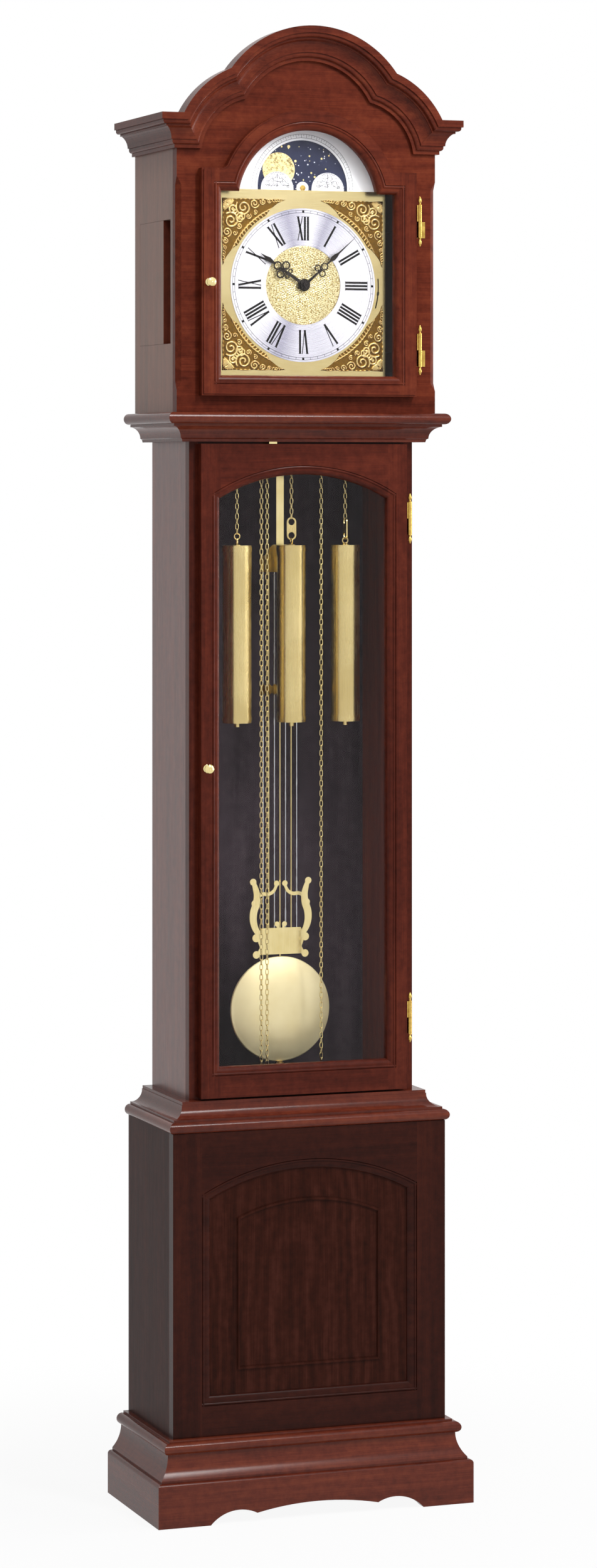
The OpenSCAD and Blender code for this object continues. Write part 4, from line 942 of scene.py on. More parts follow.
@dataclass
class Casework:
    """The wooden case: plinth, base, waist and hood, with their mouldings, panels and boards."""

    mitre_slack: float = 0.001

    def wrapped(self, carcass: str) -> Grain:
        """Work out the grain of a moulding that wraps a carcass.

        The mitre runs out from the carcass's front corner, where the distance from the middle line
        and the depth add up to half its width and its front's place.

        Args:
            carcass: the node that the moulding goes round.

        Returns:
            Grain along the front, then along the sides.
        """
        low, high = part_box(carcass)
        return Grain(Along.WIDTH, Along.DEPTH, mitre=float(high[0] + low[1]) + self.mitre_slack)

    def build(self) -> None:
        """Dress every wooden node of the case."""
        for node, carcass, lacquer in (
                ("plinth_boards", "plinth_boards", 0.4), ("plinth_moulding", "base_front", 0.4),
                ("waist_base_moulding", "waist_stiles", 0.4),
                ("hood_moulding", "waist_stiles", 0.4),
                ("cornice_moulding", "hood_front", 0.2)):
            wood = LacqueredWood(f"mahogany_{node}", MAHOGANY, self.wrapped(carcass),
                                 lacquer=lacquer, mirror=0.02, roughness=0.22)
            dress(wood.make(), node)
        waist = LacqueredWood("mahogany_waist_sides", MAHOGANY, lacquer=0.1, mirror=0.4)
        dress(waist.make(), "waist_sides")
        hood = LacqueredWood("mahogany_hood_sides", MAHOGANY, mirror=0.16, sheen=0.4)
        dress(hood.make(), "hood_sides", "left_access_board", "right_access_board")
        # The base's sides wear the mahogany darkened as painted shade
        base = LacqueredWood("mahogany_base_sides", SHADED_BASE, lacquer=0.0, mirror=0.03)
        dress(base.make(), "base_sides")
        # The rails' grain runs across, and the stiles' upright, as far in as the opening's edge
        for node, opening, inset, tones in (
                # The base's front wears the mahogany darkened as painted shade
                ("base_front", "base_panel", 0.0, SHADED_BASE),
                ("waist_stiles", "waist_door_frame", 0.02, WAIST),
                ("waist_door_frame", "waist_door_glass", 0.012, WAIST),
                ("hood_door_frame", "hood_door_glass", 0.008, MAHOGANY)):
            edge = float(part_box(opening)[1][0]) - inset
            front = LacqueredWood(f"mahogany_{node}", tones,
                                  Grain(Along.WIDTH, Along.HEIGHT, edge=edge),
                                  lacquer=0.1, roughness=0.28)
            dress(front.make(), node)
        board = LacqueredWood("mahogany_hood_front", MAHOGANY, Grain(Along.WIDTH, Along.WIDTH))
        dress(board.make(), "hood_front")
        low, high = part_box("base_panel")
        # The walnut panel's tones are darkened as painted shade, like the rest of the base
        panel = LacqueredWood("walnut_panel", SHADED_WALNUT, arches=float(low[2] + high[2]) / 2)
        dress(panel.make(), "base_panel")
        inner = LacqueredWood("stained_inner_wood", INNER, roughness=0.55, lacquer=0.0,
                              figure_width=0.03)
        dress(inner.make(), "inner_boards", "back_panel")


@dataclass
class Doors:
    """Glass, hinges, knobs and striking plate of both doors."""

    finishes: Finishes
    plate_left: float = -0.055
    plate_right: float = -0.043
    plate_front: float = -0.0655
    plate_back: float = -0.0505
    plate_clear: float = 0.0002

    def build(self) -> None:
        """Dress the doors' glass and brass, and build the striking plate."""
        dress(self.finishes.glass, "waist_door_glass", "hood_door_glass")
        dress(self.finishes.brass_hinge, "case_hinges", "waist_door_hinges", "hood_door_hinges")
        dress(self.finishes.brass_polished, "waist_door_knob", "hood_door_knob")
        # The striking plate of the waist door's catch fills the gap over the door
        top = float(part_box("waist_door_frame")[1][2]) + self.plate_clear
        under = float(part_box("hood_moulding")[0][2])
        left, right = self.plate_left, self.plate_right
        plate = raised_quads(np.array([[[left, top], [right, top], [right, under], [left, under]]]),
                             (self.plate_front + self.plate_back) / 2,
                             (self.plate_back - self.plate_front) / 2)
        place(plate.piece("catch_plate", self.finishes.brass_polished, smooth=False),
              "case", "brass_polished")


@dataclass
class DialFace:
    """The dial below its arch: plate, hour ring, hammered centre and hands."""

    finishes: Finishes
    middle_z: float = 1.763
    ring_y: float = -0.0562
    numeral_low: float = 0.0646
    numeral_high: float = 0.0992
    track_low: float = 0.1046
    track_high: float = 0.1081
    track_line: float = 0.00042
    five_minute_half: float = 0.0016
    minute_half: float = 0.00024
    stroke: float = 0.003
    hair: float = 0.0012
    lean: float = 0.0068
    narrow_letter: float = 0.0047
    wide_letter: float = 0.0098
    serif: float = 0.0004
    serif_reach: float = 0.0009
    ink: float = 0.0001
    centre_radius: float = 0.057
    centre_y: float = -0.0555
    centre_proud: float = 0.0002
    centre_deep: float = 0.0005
    centre_grid: tuple[int, int] = (62, 264)
    dent_seed: int = 11
    dent_waves: int = 26
    dent_shortest: float = 0.0021
    dent_longest: float = 0.0034
    dent_height: float = 0.00007
    plain_rim: float = 0.002
    ring_sides: int = 240

    def glyph(self, letter: str) -> tuple[float, list[tuple[float, float, float]]]:
        """Describe a letter.

        Upright thick strokes make an I, and one thick and one hair stroke lean into a V or cross
        in an X. A V's strokes part a little at the top, and its hair stroke ends beside the thick
        one.

        Args:
            letter: I, V or X.

        Returns:
            How far the next letter is, and each stroke's top, foot and width.
        """
        lean, apart, beside = self.lean / 2, 0.0005, 0.0004
        return {
            "I": (self.narrow_letter, [(0.0, 0.0, self.stroke)]),
            "V": (self.wide_letter, [(-lean - apart, 0.0, self.stroke),
                                     (lean + apart, beside, self.hair)]),
            "X": (self.wide_letter, [(-lean, lean, self.stroke), (lean, -lean, self.hair)]),
        }[letter]

    def numeral(self, text: str, hour: int) -> np.ndarray:
        """Lay out an hour's numeral.

        A stroke runs from the foot, nearer the dial's middle, to the top, and a serif crosses each
        end. Its sideways place turns about the middle with the hour.

        Args:
            text: the numeral's letters.
            hour: where it stands.

        Returns:
            The four corners of every stroke and serif.
        """
        glyphs = [self.glyph(letter) for letter in text]
        low, high, serif = self.numeral_low, self.numeral_high, self.serif
        start, shapes = -sum(advance for advance, _ in glyphs) / 2, []
        for advance, strokes in glyphs:
            centre = start + advance / 2
            for top, foot, width in strokes:
                half = width / 2
                shapes.append([[centre + foot - half, low], [centre + foot + half, low],
                               [centre + top + half, high], [centre + top - half, high]])
                reach = half + self.serif_reach
                for end, radius in ((foot, low), (top, high - serif)):
                    left, right = centre + end - reach, centre + end + reach
                    shapes.append([[left, radius], [right, radius],
                                   [right, radius + serif], [left, radius + serif]])
            start += advance
        return self.turned(np.array(shapes), math.radians(30 * hour))

    def turned(self, shapes: np.ndarray, angle: float) -> np.ndarray:
        """Turn shapes clockwise about the dial's middle.

        Args:
            shapes: sideways place and radius of each corner.
            angle: how far to turn, in radians.

        Returns:
            Sideways place and height of each corner.
        """
        u, r = shapes[..., 0], shapes[..., 1]
        x = r * math.sin(angle) + u * math.cos(angle)
        z = self.middle_z + r * math.cos(angle) - u * math.sin(angle)
        return np.stack([x, z], axis=-1)

    def printed(self) -> Surface:
        """Print the hour numerals and the minute track.

        Returns:
            The ink, which stands on the ring.
        """
        names = ("XII", "I", "II", "III", "IIII", "V", "VI", "VII", "VIII", "IX", "X", "XI")
        parts = [raised_quads(self.numeral(name, hour), self.ring_y, self.ink)
                 for hour, name in enumerate(names)]
        low, high = self.track_low, self.track_high
        for minute in range(60):
            half = self.five_minute_half if minute % 5 == 0 else self.minute_half
            bar = np.array([[[-half, low], [half, low], [half, high], [-half, high]]])
            bar = self.turned(bar, math.radians(6 * minute))
            parts.append(raised_quads(bar, self.ring_y, self.ink))
        turn = full_turn(self.ring_sides)
        for radius in (low, high):
            parts.append(ink_line(radius * np.cos(turn), self.middle_z + radius * np.sin(turn),
                                  self.ring_y, self.track_line, self.ink, closed=True))
        return Surface.joined(parts)

    def hammered(self) -> Surface:
        """Hammer the centre disc.

        The height is a sum of waves that run in many seeded directions, about 3 mm long, and fades
        to a plain rim. The back and the edge close it.

        Returns:
            The disc, with small dents all over its face.
        """
        rng = np.random.default_rng(self.dent_seed)
        radius, x, z = polar_grid(0.0003, self.centre_radius, *self.centre_grid)
        height = np.zeros_like(x)
        for _ in range(self.dent_waves):
            way = rng.uniform(0, math.tau)
            pitch = math.tau / rng.uniform(self.dent_shortest, self.dent_longest)
            along = x * math.cos(way) + z * math.sin(way)
            height += np.cos(pitch * along + rng.uniform(0, math.tau))
        fade = np.clip((self.centre_radius - radius) / self.plain_rim, 0, 1)
        height *= self.dent_height * fade
        return embossed_disc((0.0, self.middle_z), x, z, self.centre_y - self.centre_proud - height,
                             self.centre_y + self.centre_deep)

    def build(self) -> None:
        """Build and dress the dial's pieces."""
        # The plate is brass, lacquered and brushed across
        plate = Metal("dial_gold", "#decd98", "#ccb77c", 0.2, line=(0.03, 0.0006, 0.0005),
                      patch=0.12, depth=0.000005)
        dress(plate.make(), "dial_plate")
        dress(SpunSilver("spun_silver", self.middle_z).make(), "chapter_ring")
        dress(self.finishes.black, "hour_hand", "minute_hand", "chime_lever")
        ink = Paint("dial_ink", "#100e0d", "#090808", 0.4, mirror=0.1).make()
        place(self.printed().piece("dial_print", ink, smooth=False), "case", "blackened_steel")
        # Gilt brass with patches as small as its dents, nearly one colour in each: painted light
        # and shade of the dents
        gold = Metal("hammered_gold", "#e4d7a8", "#a89258", 0.28, line=(0.0015, 0.0015, 0.0015),
                     patch=0.002, spread=0.08).make()
        place(self.hammered().piece("hammered_centre", gold), "case", "gold_hammered",
              "dial_centre")


@dataclass(frozen=True)
class Ridge:
    """A round ridge of a casting: places across and up, half width and share of the height."""

    across: np.ndarray
    up: np.ndarray
    half: float
    share: float

    @classmethod
    def spiral(cls, x: float, z: float, radius: float, start: float, turns: float,
               half: float) -> "Ridge":
        """Wind a ridge inwards, its radius shrinking evenly with the turn to 18 hundredths.

        Args:
            x: its middle's place across, in metres.
            z: its middle's place up.
            radius: the radius that it starts with.
            start: the angle that it starts at, in radians.
            turns: how many turns it makes, clockwise where negative.
            half: its half width.

        Returns:
            The ridge, of full height.
        """
        t, shrink = cls.steps(), 0.82
        angle = start + math.tau * turns * t
        grow = radius * (1 - shrink * t)
        return cls(x + grow * np.cos(angle), z + grow * np.sin(angle), half, 1.0)

    @classmethod
    def bow(cls, x0: float, z0: float, x1: float, z1: float, bend: float, half: float,
            share: float) -> "Ridge":
        """Bend a ridge between two points, as a parabola.

        Args:
            x0: its start's place across, in metres.
            z0: its start's place up.
            x1: its end's place across.
            z1: its end's place up.
            bend: how far its middle lies off the straight, over its length.
            half: its half width.
            share: its share of the full height.

        Returns:
            The ridge.
        """
        t = cls.steps()
        along = np.array([x1 - x0, z1 - z0])
        across = np.array([-along[1], along[0]])
        lift = bend * 4 * t * (1 - t)
        return cls(x0 + along[0] * t + across[0] * lift, z0 + along[1] * t + across[1] * lift,
                   half, share)

    @staticmethod
    def steps() -> np.ndarray:
        """Return how far along a ridge each of its points is, from 0 to 1."""
        return np.linspace(0, 1, 90)

    def mirrored(self) -> "Ridge":
        """Return the ridge on the other side of the corner's diagonal."""
        return Ridge(self.up, self.across, self.half, self.share)


@dataclass
class CornerOrnaments:
    """The four cast scrolls in the corners of the dial plate.

    Places across and up count from the dial's middle. A curl is its middle across and up, its
    radius, the angle that it starts at, its turns and its half width. A leaf's shape is its bend,
    its half width and its share of the height.
    """

    middle_z: float = 1.763
    plate_y: float = -0.055
    ring_clear: float = 0.1146
    far: float = 0.1238
    scallop: float = 0.0011
    scallops_a_radian: float = 20
    tip_angle: float = math.radians(12.5)
    tip_length: float = math.radians(17)
    tip_width: float = 0.0002
    end_slope: float = math.radians(1.2)
    edge_slope: float = 0.0005
    floor_height: float = 0.0006
    ridge_height: float = 0.0014
    clear: float = 0.00003
    let_in: float = 0.0001
    columns: int = 330
    rows: int = 66
    fan_at: float = 0.1135
    fan_length: float = 0.0098
    fan_leaf: Spot = (0.12, 0.0009, 0.9)
    ring_leaf: Spot = (0.3, 0.001, 0.85)
    frill_z: float = 0.1226
    frill_length: float = 0.0056
    frill_leaf: Spot = (-0.24, 0.00085, 0.8)
    tip_leaf: Spot = (0.25, 0.0008, 0.85)
    curls: tuple[tuple[float, ...], ...] = (
        (0.0915, 0.1105, 0.0118, 0.6, -1.7, 0.00145), (0.0745, 0.1165, 0.0068, 3.4, 1.5, 0.0012),
        (0.0618, 0.119, 0.0044, 0.4, -1.4, 0.001), (0.0525, 0.1203, 0.0031, 3.4, 1.3, 0.0008),
        (0.1068, 0.1085, 0.0072, 4.2, 1.5, 0.0012), (0.097, 0.0945, 0.0066, 1.2, -1.4, 0.0011),
        (0.0838, 0.0978, 0.0042, 2.4, 1.3, 0.0009), (0.0735, 0.1045, 0.0036, 5.2, -1.2, 0.0008))

    def outline(self, angle: np.ndarray) -> tuple[np.ndarray, np.ndarray]:
        """Draw a corner ornament's outline.

        Outside it follows the plate's straight edges, scalloped, and inside it follows the hour
        ring, from which it lifts away to a point at both ends.

        Args:
            angle: angles from the upright.

        Returns:
            The inner and the outer radius at each angle.
        """
        outer = self.far / np.maximum(np.cos(angle), np.sin(angle))
        outer = outer - self.scallop * np.abs(np.sin(self.scallops_a_radian * angle)) ** 2
        from_tip = np.minimum(angle - self.tip_angle, math.pi / 2 - self.tip_angle - angle)
        opened = np.clip(from_tip / self.tip_length, 0, 1) ** 0.8
        wide = np.maximum(outer - self.ring_clear, 0.0)
        return outer - wide * opened - self.tip_width, outer

    def ridges(self) -> list[Ridge]:
        """Lay out the scrolls and leaves.

        Leaves are short bows that fan out from the corner and run along the arms towards the tips.

        Returns:
            The ridges on both sides of the corner's diagonal.
        """
        ridges = [Ridge.spiral(*curl) for curl in self.curls]
        for k in range(7):
            angle = math.radians(45 + 15 * k)
            ridges.append(Ridge.bow(self.fan_at, self.fan_at,
                                    self.fan_at + self.fan_length * math.cos(angle),
                                    self.fan_at + self.fan_length * math.sin(angle),
                                    *self.fan_leaf))
        # Leaves that rise from the ring's side
        near, away, slant = self.ring_clear + 0.0006, self.ring_clear + 0.0052, 0.05
        for k in range(10):
            angle = math.radians(19.5 + 2.6 * k)
            ridges.append(Ridge.bow(near * math.sin(angle), near * math.cos(angle),
                                    away * math.sin(angle + slant), away * math.cos(angle + slant),
                                    *self.ring_leaf))
        # A frill under the straight edge, and smaller leaves down to the tip
        for k in range(11):
            x = 0.108 - 0.0066 * k
            ridges.append(Ridge.bow(x, self.frill_z, x - self.frill_length, self.frill_z,
                                    *self.frill_leaf))
        for k in range(6):
            x = 0.0475 - 0.0036 * k
            ridges.append(Ridge.bow(x, 0.1228 - 0.0002 * k, x - 0.0032, 0.1192 + 0.0005 * k,
                                    *self.tip_leaf))
        return ridges + [ridge.mirrored() for ridge in ridges]

    def heights(self, x: np.ndarray, z: np.ndarray) -> np.ndarray:
        """Work out how high the ridges stand.

        A ridge is round in section: its height is the root of one less the squared distance from
        its line over its half width. The highest ridge at a place counts.

        Args:
            x: places across.
            z: places up.

        Returns:
            The share of the full height at each place.
        """
        top = np.zeros_like(x)
        for ridge in self.ridges():
            gap = np.min((x[..., None] - ridge.across) ** 2 + (z[..., None] - ridge.up) ** 2,
                         axis=-1)
            top = np.maximum(top, ridge.share * np.sqrt(np.clip(1 - gap / ridge.half ** 2, 0, 1)))
        return top

    def corner(self, side: int, up: int) -> Surface:
        """Cast one corner's ornament, a grid over its angle and its width.

        Args:
            side: 1 for the right-hand corners and -1 for the left.
            up: 1 for the upper corners and -1 for the lower.

        Returns:
            The ornament, closed behind.
        """
        angle = np.linspace(self.tip_angle, math.pi / 2 - self.tip_angle, self.columns)
        inner, outer = self.outline(angle)
        share = np.linspace(0, 1, self.rows)[:, None]
        radius = inner + (outer - inner) * share
        x, z = radius * np.sin(angle), radius * np.cos(angle)
        edge = np.clip(np.minimum(radius - inner, outer - radius) / self.edge_slope, 0, 1)
        ends = np.clip(np.minimum(angle - angle[0], angle[-1] - angle) / self.end_slope, 0, 1)
        level = (self.floor_height + self.ridge_height * self.heights(x, z)) * np.sqrt(edge * ends)
        front = np.stack([side * x, self.plate_y - self.clear - level, self.middle_z + up * z],
                         axis=-1).reshape(-1, 3)
        columns, n = self.columns, self.rows * self.columns
        first, last = np.arange(columns), np.arange(n - columns, n)
        left = columns * np.arange(self.rows)
        right = left + columns - 1
        # The back is one strip between the outline's two long sides, and short caps at both tips
        strip = np.concatenate([front[first], front[last]])
        strip[:, 1] = self.plate_y + self.let_in
        k = n + np.arange(columns)
        back = np.stack([k[:-1], k[1:], k[1:] + columns, k[:-1] + columns], axis=1)
        low = np.stack([first[1:], first[:-1], k[:-1], k[1:]], axis=1)
        high = np.stack([last[:-1], last[1:], k[1:] + columns, k[:-1] + columns], axis=1)
        caps = [np.concatenate([left, [k[0] + columns, k[0]]])[None],
                np.concatenate([right[::-1], [k[-1], k[-1] + columns]])[None]]
        faces = grid_faces(self.rows, columns, False, False)
        return Surface(np.concatenate([front, strip]),
                       [faces, back[:, ::-1], low, high, *caps]).outward()

    def build(self) -> None:
        """Build the four ornaments as one piece."""
        brass = CastBrass("antique_cast_brass", self.plate_y - self.floor_height * 0.9,
                          self.plate_y - self.floor_height - self.ridge_height).make()
        corners = [self.corner(side, up) for side in (-1, 1) for up in (-1, 1)]
        place(Surface.joined(corners).piece("corner_scrolls", brass), "case", "brass_antique",
              "spandrels")


@dataclass
class MoonDial:
    """The arch over the dial: its white plate with a scale, the turning sky and the two humps.

    A coast is its middle from the hump's own, across and up, and its size.
    """

    finishes: Finishes
    middle_z: float = 1.9035
    plate_y: float = -0.0534
    plate_edge_z: float = 1.9004
    sky_y: float = -0.0513
    sky_radius: float = 0.0715
    star_groups: int = 9
    grouped_share: float = 0.7
    group_spread: float = 0.012
    hub_clear: float = 0.006
    moon_clear: float = 0.0016
    scale_low: float = 0.0724
    scale_high: float = 0.0777
    days: int = 59
    scale_from: float = math.radians(-2.0)
    scale_to: float = math.radians(182.0)
    low_line: float = 0.0005
    high_line: float = 0.00042
    tick_line: float = 0.00036
    hump_x: float = 0.0389
    hump_z: float = 1.9015
    hump_radius: float = 0.0248
    map_seed: int = 40
    map_margin: float = 0.0008
    net_upright: tuple[float, ...] = (-0.75, -0.4, 0.02, 0.4, 0.75, 1.0)
    net_level: tuple[float, ...] = (0.22, 0.46, 0.7, 0.88)
    net_bow: float = 0.0011
    net_line: float = 0.00045
    coast_line: float = 0.00065
    coast_shake: float = 0.55
    coast_wide: float = 1.15
    coast_tall: float = 0.85
    coasts: tuple[Spot, ...] = (
        (-0.0095, 0.0095, 0.0044), (0.0015, 0.0135, 0.0052), (0.0105, 0.0085, 0.0043),
        (-0.002, 0.0052, 0.0021), (-0.014, 0.0048, 0.0016), (0.0165, 0.0036, 0.0014))
    moon_at: tuple[float, float] = (-0.036, 0.026)
    moon_dome: float = 0.00018
    moon_proud: float = 0.00003
    moon_deep: float = 0.0002
    moon_grid: tuple[int, int] = (44, 150)
    craters: int = 34
    crater_reach: float = 0.022
    crater_smallest: float = 0.0009
    crater_largest: float = 0.0032
    crater_rim: float = 0.00006
    crater_bowl: float = 0.00005
    ink: float = 0.00004

    def scale_lines(self) -> Surface:
        """Print the arch's scale of days: two bows with ticks between them, every other one short.

        Returns:
            The ink, which stands on the plate.
        """
        low, high = self.scale_low, self.scale_high
        sweep = np.linspace(self.scale_from, self.scale_to, 150)
        parts = [ink_line(r * np.cos(sweep), self.middle_z + r * np.sin(sweep), self.plate_y, width,
                          self.ink) for r, width in ((low, self.low_line), (high, self.high_line))]
        for day in range(self.days + 1):
            angle = math.pi * day / self.days
            start = low if day % 2 == 0 else (low + high) / 2
            r = np.array([start, high])
            parts.append(ink_line(r * math.cos(angle), self.middle_z + r * math.sin(angle),
                                  self.plate_y, self.tick_line, self.ink))
        return Surface.joined(parts)

    def map_lines(self, side: int) -> list[Surface]:
        """Print the net and the made-up coasts on one hump.

        The net's curves are halves of ellipses, as on a globe seen from its side. A coast is a
        circle whose radius is shaken by a few seeded waves.

        Args:
            side: -1 for the left hump and 1 for the right.

        Returns:
            Each line's ink.
        """
        rng = np.random.default_rng(self.map_seed + side)
        x0 = side * self.hump_x
        low = abs(math.asin((self.plate_edge_z + 0.0004 - self.hump_z) / self.hump_radius)) + 0.03
        sweep = np.linspace(low, math.pi - low, 40)
        reach = self.hump_radius - self.map_margin
        parts = [ink_line(x0 + reach * share * np.cos(sweep), self.hump_z + reach * np.sin(sweep),
                          self.plate_y, self.net_line, self.ink)
                 for share in self.net_upright]
        for level in self.net_level:
            half = reach * math.sqrt(1 - level ** 2) * 0.97
            across = np.linspace(-half, half, 24)
            bow = self.net_bow * (across / half) ** 2
            parts.append(ink_line(x0 + across, self.hump_z + reach * level + bow - 0.0005,
                                  self.plate_y, self.net_line, self.ink))
        turn = full_turn(44)
        for dx, dz, size in self.coasts:
            radius = np.full_like(turn, size)
            for wave in range(2, 8):
                shake = size * self.coast_shake / wave
                radius += shake * np.cos(wave * turn + rng.uniform(0, math.tau))
            parts.append(ink_line(x0 + dx + self.coast_wide * radius * np.cos(turn),
                                  self.hump_z + dz + self.coast_tall * radius * np.sin(turn),
                                  self.plate_y, self.coast_line, self.ink, closed=True))
        return parts

    def stars(self, seed: int, count: int, largest: float) -> Surface:
        """Print seeded stars on the sky, in loose groups and clear of both moons.

        Args:
            seed: the seed of their places and sizes.
            count: how many there are.
            largest: the largest one's radius, in metres.

        Returns:
            All of them, each a small disc.
        """
        rng = np.random.default_rng(seed)
        knots = rng.uniform(-0.052, 0.052, (self.star_groups, 2))
        moons = (self.moon_at, (-self.moon_at[0], -self.moon_at[1]))
        parts = []
        while len(parts) < count:
            if rng.random() < self.grouped_share:
                spot = knots[rng.integers(self.star_groups)] + rng.normal(0, self.group_spread, 2)
            else:
                spot = rng.uniform(-0.07, 0.07, 2)
            clear = min(math.dist(spot, moon) for moon in moons) - self.hump_radius
            if self.hub_clear < math.hypot(*spot) < self.sky_radius and clear > self.moon_clear:
                radius = largest * rng.uniform(0.35, 1) ** 1.6
                parts.append(round_disc(spot[0], self.middle_z + spot[1], radius, self.sky_y,
                                        self.ink, 10))
        return Surface.joined(parts)

    def moon(self, x: float, z: float, seed: int) -> Surface:
        """Print one moon: a low dome with round craters.

        A crater at distance d from its middle, over its radius, is a bowl inside 1 and a rim
        about 1.

        Args:
            x: the moon's sideways place, in metres.
            z: its height over the sky's middle.
            seed: the seed of its craters.

        Returns:
            The moon, closed behind.
        """
        rng = np.random.default_rng(seed)
        radius, px, pz = polar_grid(0.0002, self.hump_radius, *self.moon_grid)
        dome = np.sqrt(np.clip(1 - (radius / self.hump_radius) ** 2, 0, 1))
        height = self.moon_dome * dome + 0 * px
        for _ in range(self.craters):
            far, way = self.crater_reach * math.sqrt(rng.random()), rng.uniform(0, math.tau)
            size = rng.uniform(self.crater_smallest, self.crater_largest)
            d = np.hypot(px - far * math.cos(way), pz - far * math.sin(way)) / size
            height += (self.crater_rim * np.exp(-((d - 1) / 0.28) ** 2)
                       - self.crater_bowl * np.clip(1 - d ** 2, 0, 1))
        return embossed_disc((x, self.middle_z + z), px, pz, self.sky_y - self.moon_proud - height,
                             self.sky_y + self.moon_deep)

    def build(self) -> None:
        """Build and dress the arch, its sky and its humps."""
        # Sprayed and printed coats, flat to the eye, on which the ink lies duller still
        dress(Paint("arch_white", "#fbfbfc", "#f4f5f7").make(), "moon_arch")
        dress(Paint("sky_blue", "#262b45", "#1b2038", 0.3).make(), "moon_disc")
        grey = Paint("print_grey", "#2c2c30", "#1f1f22", 0.4, mirror=0.1).make()
        place(self.scale_lines().piece("arch_scale", grey, smooth=False), "case", "blackened_steel")
        maps = Surface.joined(self.map_lines(-1) + self.map_lines(1))
        place(maps.piece("hump_print", grey, smooth=False), "case", "blackened_steel")
        screw = round_disc(0.0, self.middle_z, 0.0042, self.plate_y, 0.0012, 28)
        place(screw.piece("hub_screw", self.finishes.brass_hinge, smooth=False), "case",
              "brass_matt")
        gold = MoonGold("moon_gold").make()
        for name, sign, seed in (("moon_up", 1, 5), ("moon_down", -1, 6)):
            moon = self.moon(sign * self.moon_at[0], sign * self.moon_at[1], seed)
            place(moon.piece(name, gold), "moon_disc", "brass_matt")
        for name, paint, seed, count, largest in (
                ("white_stars", Paint("star_white", "#ffffff", "#eef0f4"), 3, 90, 0.0011),
                ("gold_stars", Paint("star_gold", "#f3df9e", "#e2c777"), 8, 54, 0.0024)):
            stars = self.stars(seed, count, largest)
            place(stars.piece(name, paint.make(), smooth=False), "moon_disc", "white_painted_metal")


@dataclass
class Movement:
    """The brass movement behind the dial, its wheels, and the chime rods on the back board."""

    finishes: Finishes

    def build(self) -> None:
        """Dress the movement's nodes."""
        dress(self.finishes.brass_matt, "movement_frame", "hour_wheel", "minute_wheel",
              "escape_wheel", "chain_wheel_left", "chain_wheel_centre", "chain_wheel_right")
        dress(self.finishes.steel, "centre_arbor", "anchor", "chime_rods")


@dataclass
class Pendulum:
    """The lyre pendulum: leader, rods, lyre, bob and rating nut."""

    finishes: Finishes
    bead: float = 0.0026
    bead_bend: float = math.radians(65)
    sides: int = 128

    def bob_skin(self) -> Surface:
        """Turn the bob: a lens with a rolled rim, about an axis that runs front to back.

        The half profile goes from the front's middle over the dome to the rim bead and back to the
        rear's middle, and turns through a full circle.

        Returns:
            The bob's closed skin.
        """
        low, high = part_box("bob")
        x0, y0, z0 = ((low[i] + high[i]) / 2 for i in range(3))
        radius, half = (high[2] - low[2]) / 2, (high[1] - low[1]) / 2
        t = np.linspace(0.003, 1, 26)
        dome = half - (half - self.bead) * t ** 3
        out = t * (radius - self.bead)
        bend = np.linspace(self.bead_bend, -self.bead_bend, 13)
        r = np.concatenate([out, radius - self.bead + self.bead * np.cos(bend), out[::-1]])
        y = np.concatenate([-dome, -self.bead * np.sin(bend), dome[::-1]])
        turn = full_turn(self.sides)
        depth = np.broadcast_to(y0 + y[:, None], (len(r), self.sides))
        return Surface.rings(np.stack([x0 + r[:, None] * np.cos(turn), depth,
                                       z0 + r[:, None] * np.sin(turn)], axis=-1))

    def build(self) -> None:
        """Dress the pendulum and build its bob."""
        dress(self.finishes.brass_polished, "pendulum_leader", "pendulum_plates", "brass_rods",
              "lyre")
        dress(self.finishes.steel, "steel_rods")
        dress(self.finishes.brass_matt, "rating_nut")
        # Spun brass under satin lacquer, which shines softly all over the lens
        satin = Metal("satin_brass", "#eee2b4", "#e0d09a", 0.5, line=(0.0005, 0.0005, 0.0005),
                      metallic=0.55).make()
        place(self.bob_skin().piece("bob_lens", satin), "bob", "brass_polished", "bob")


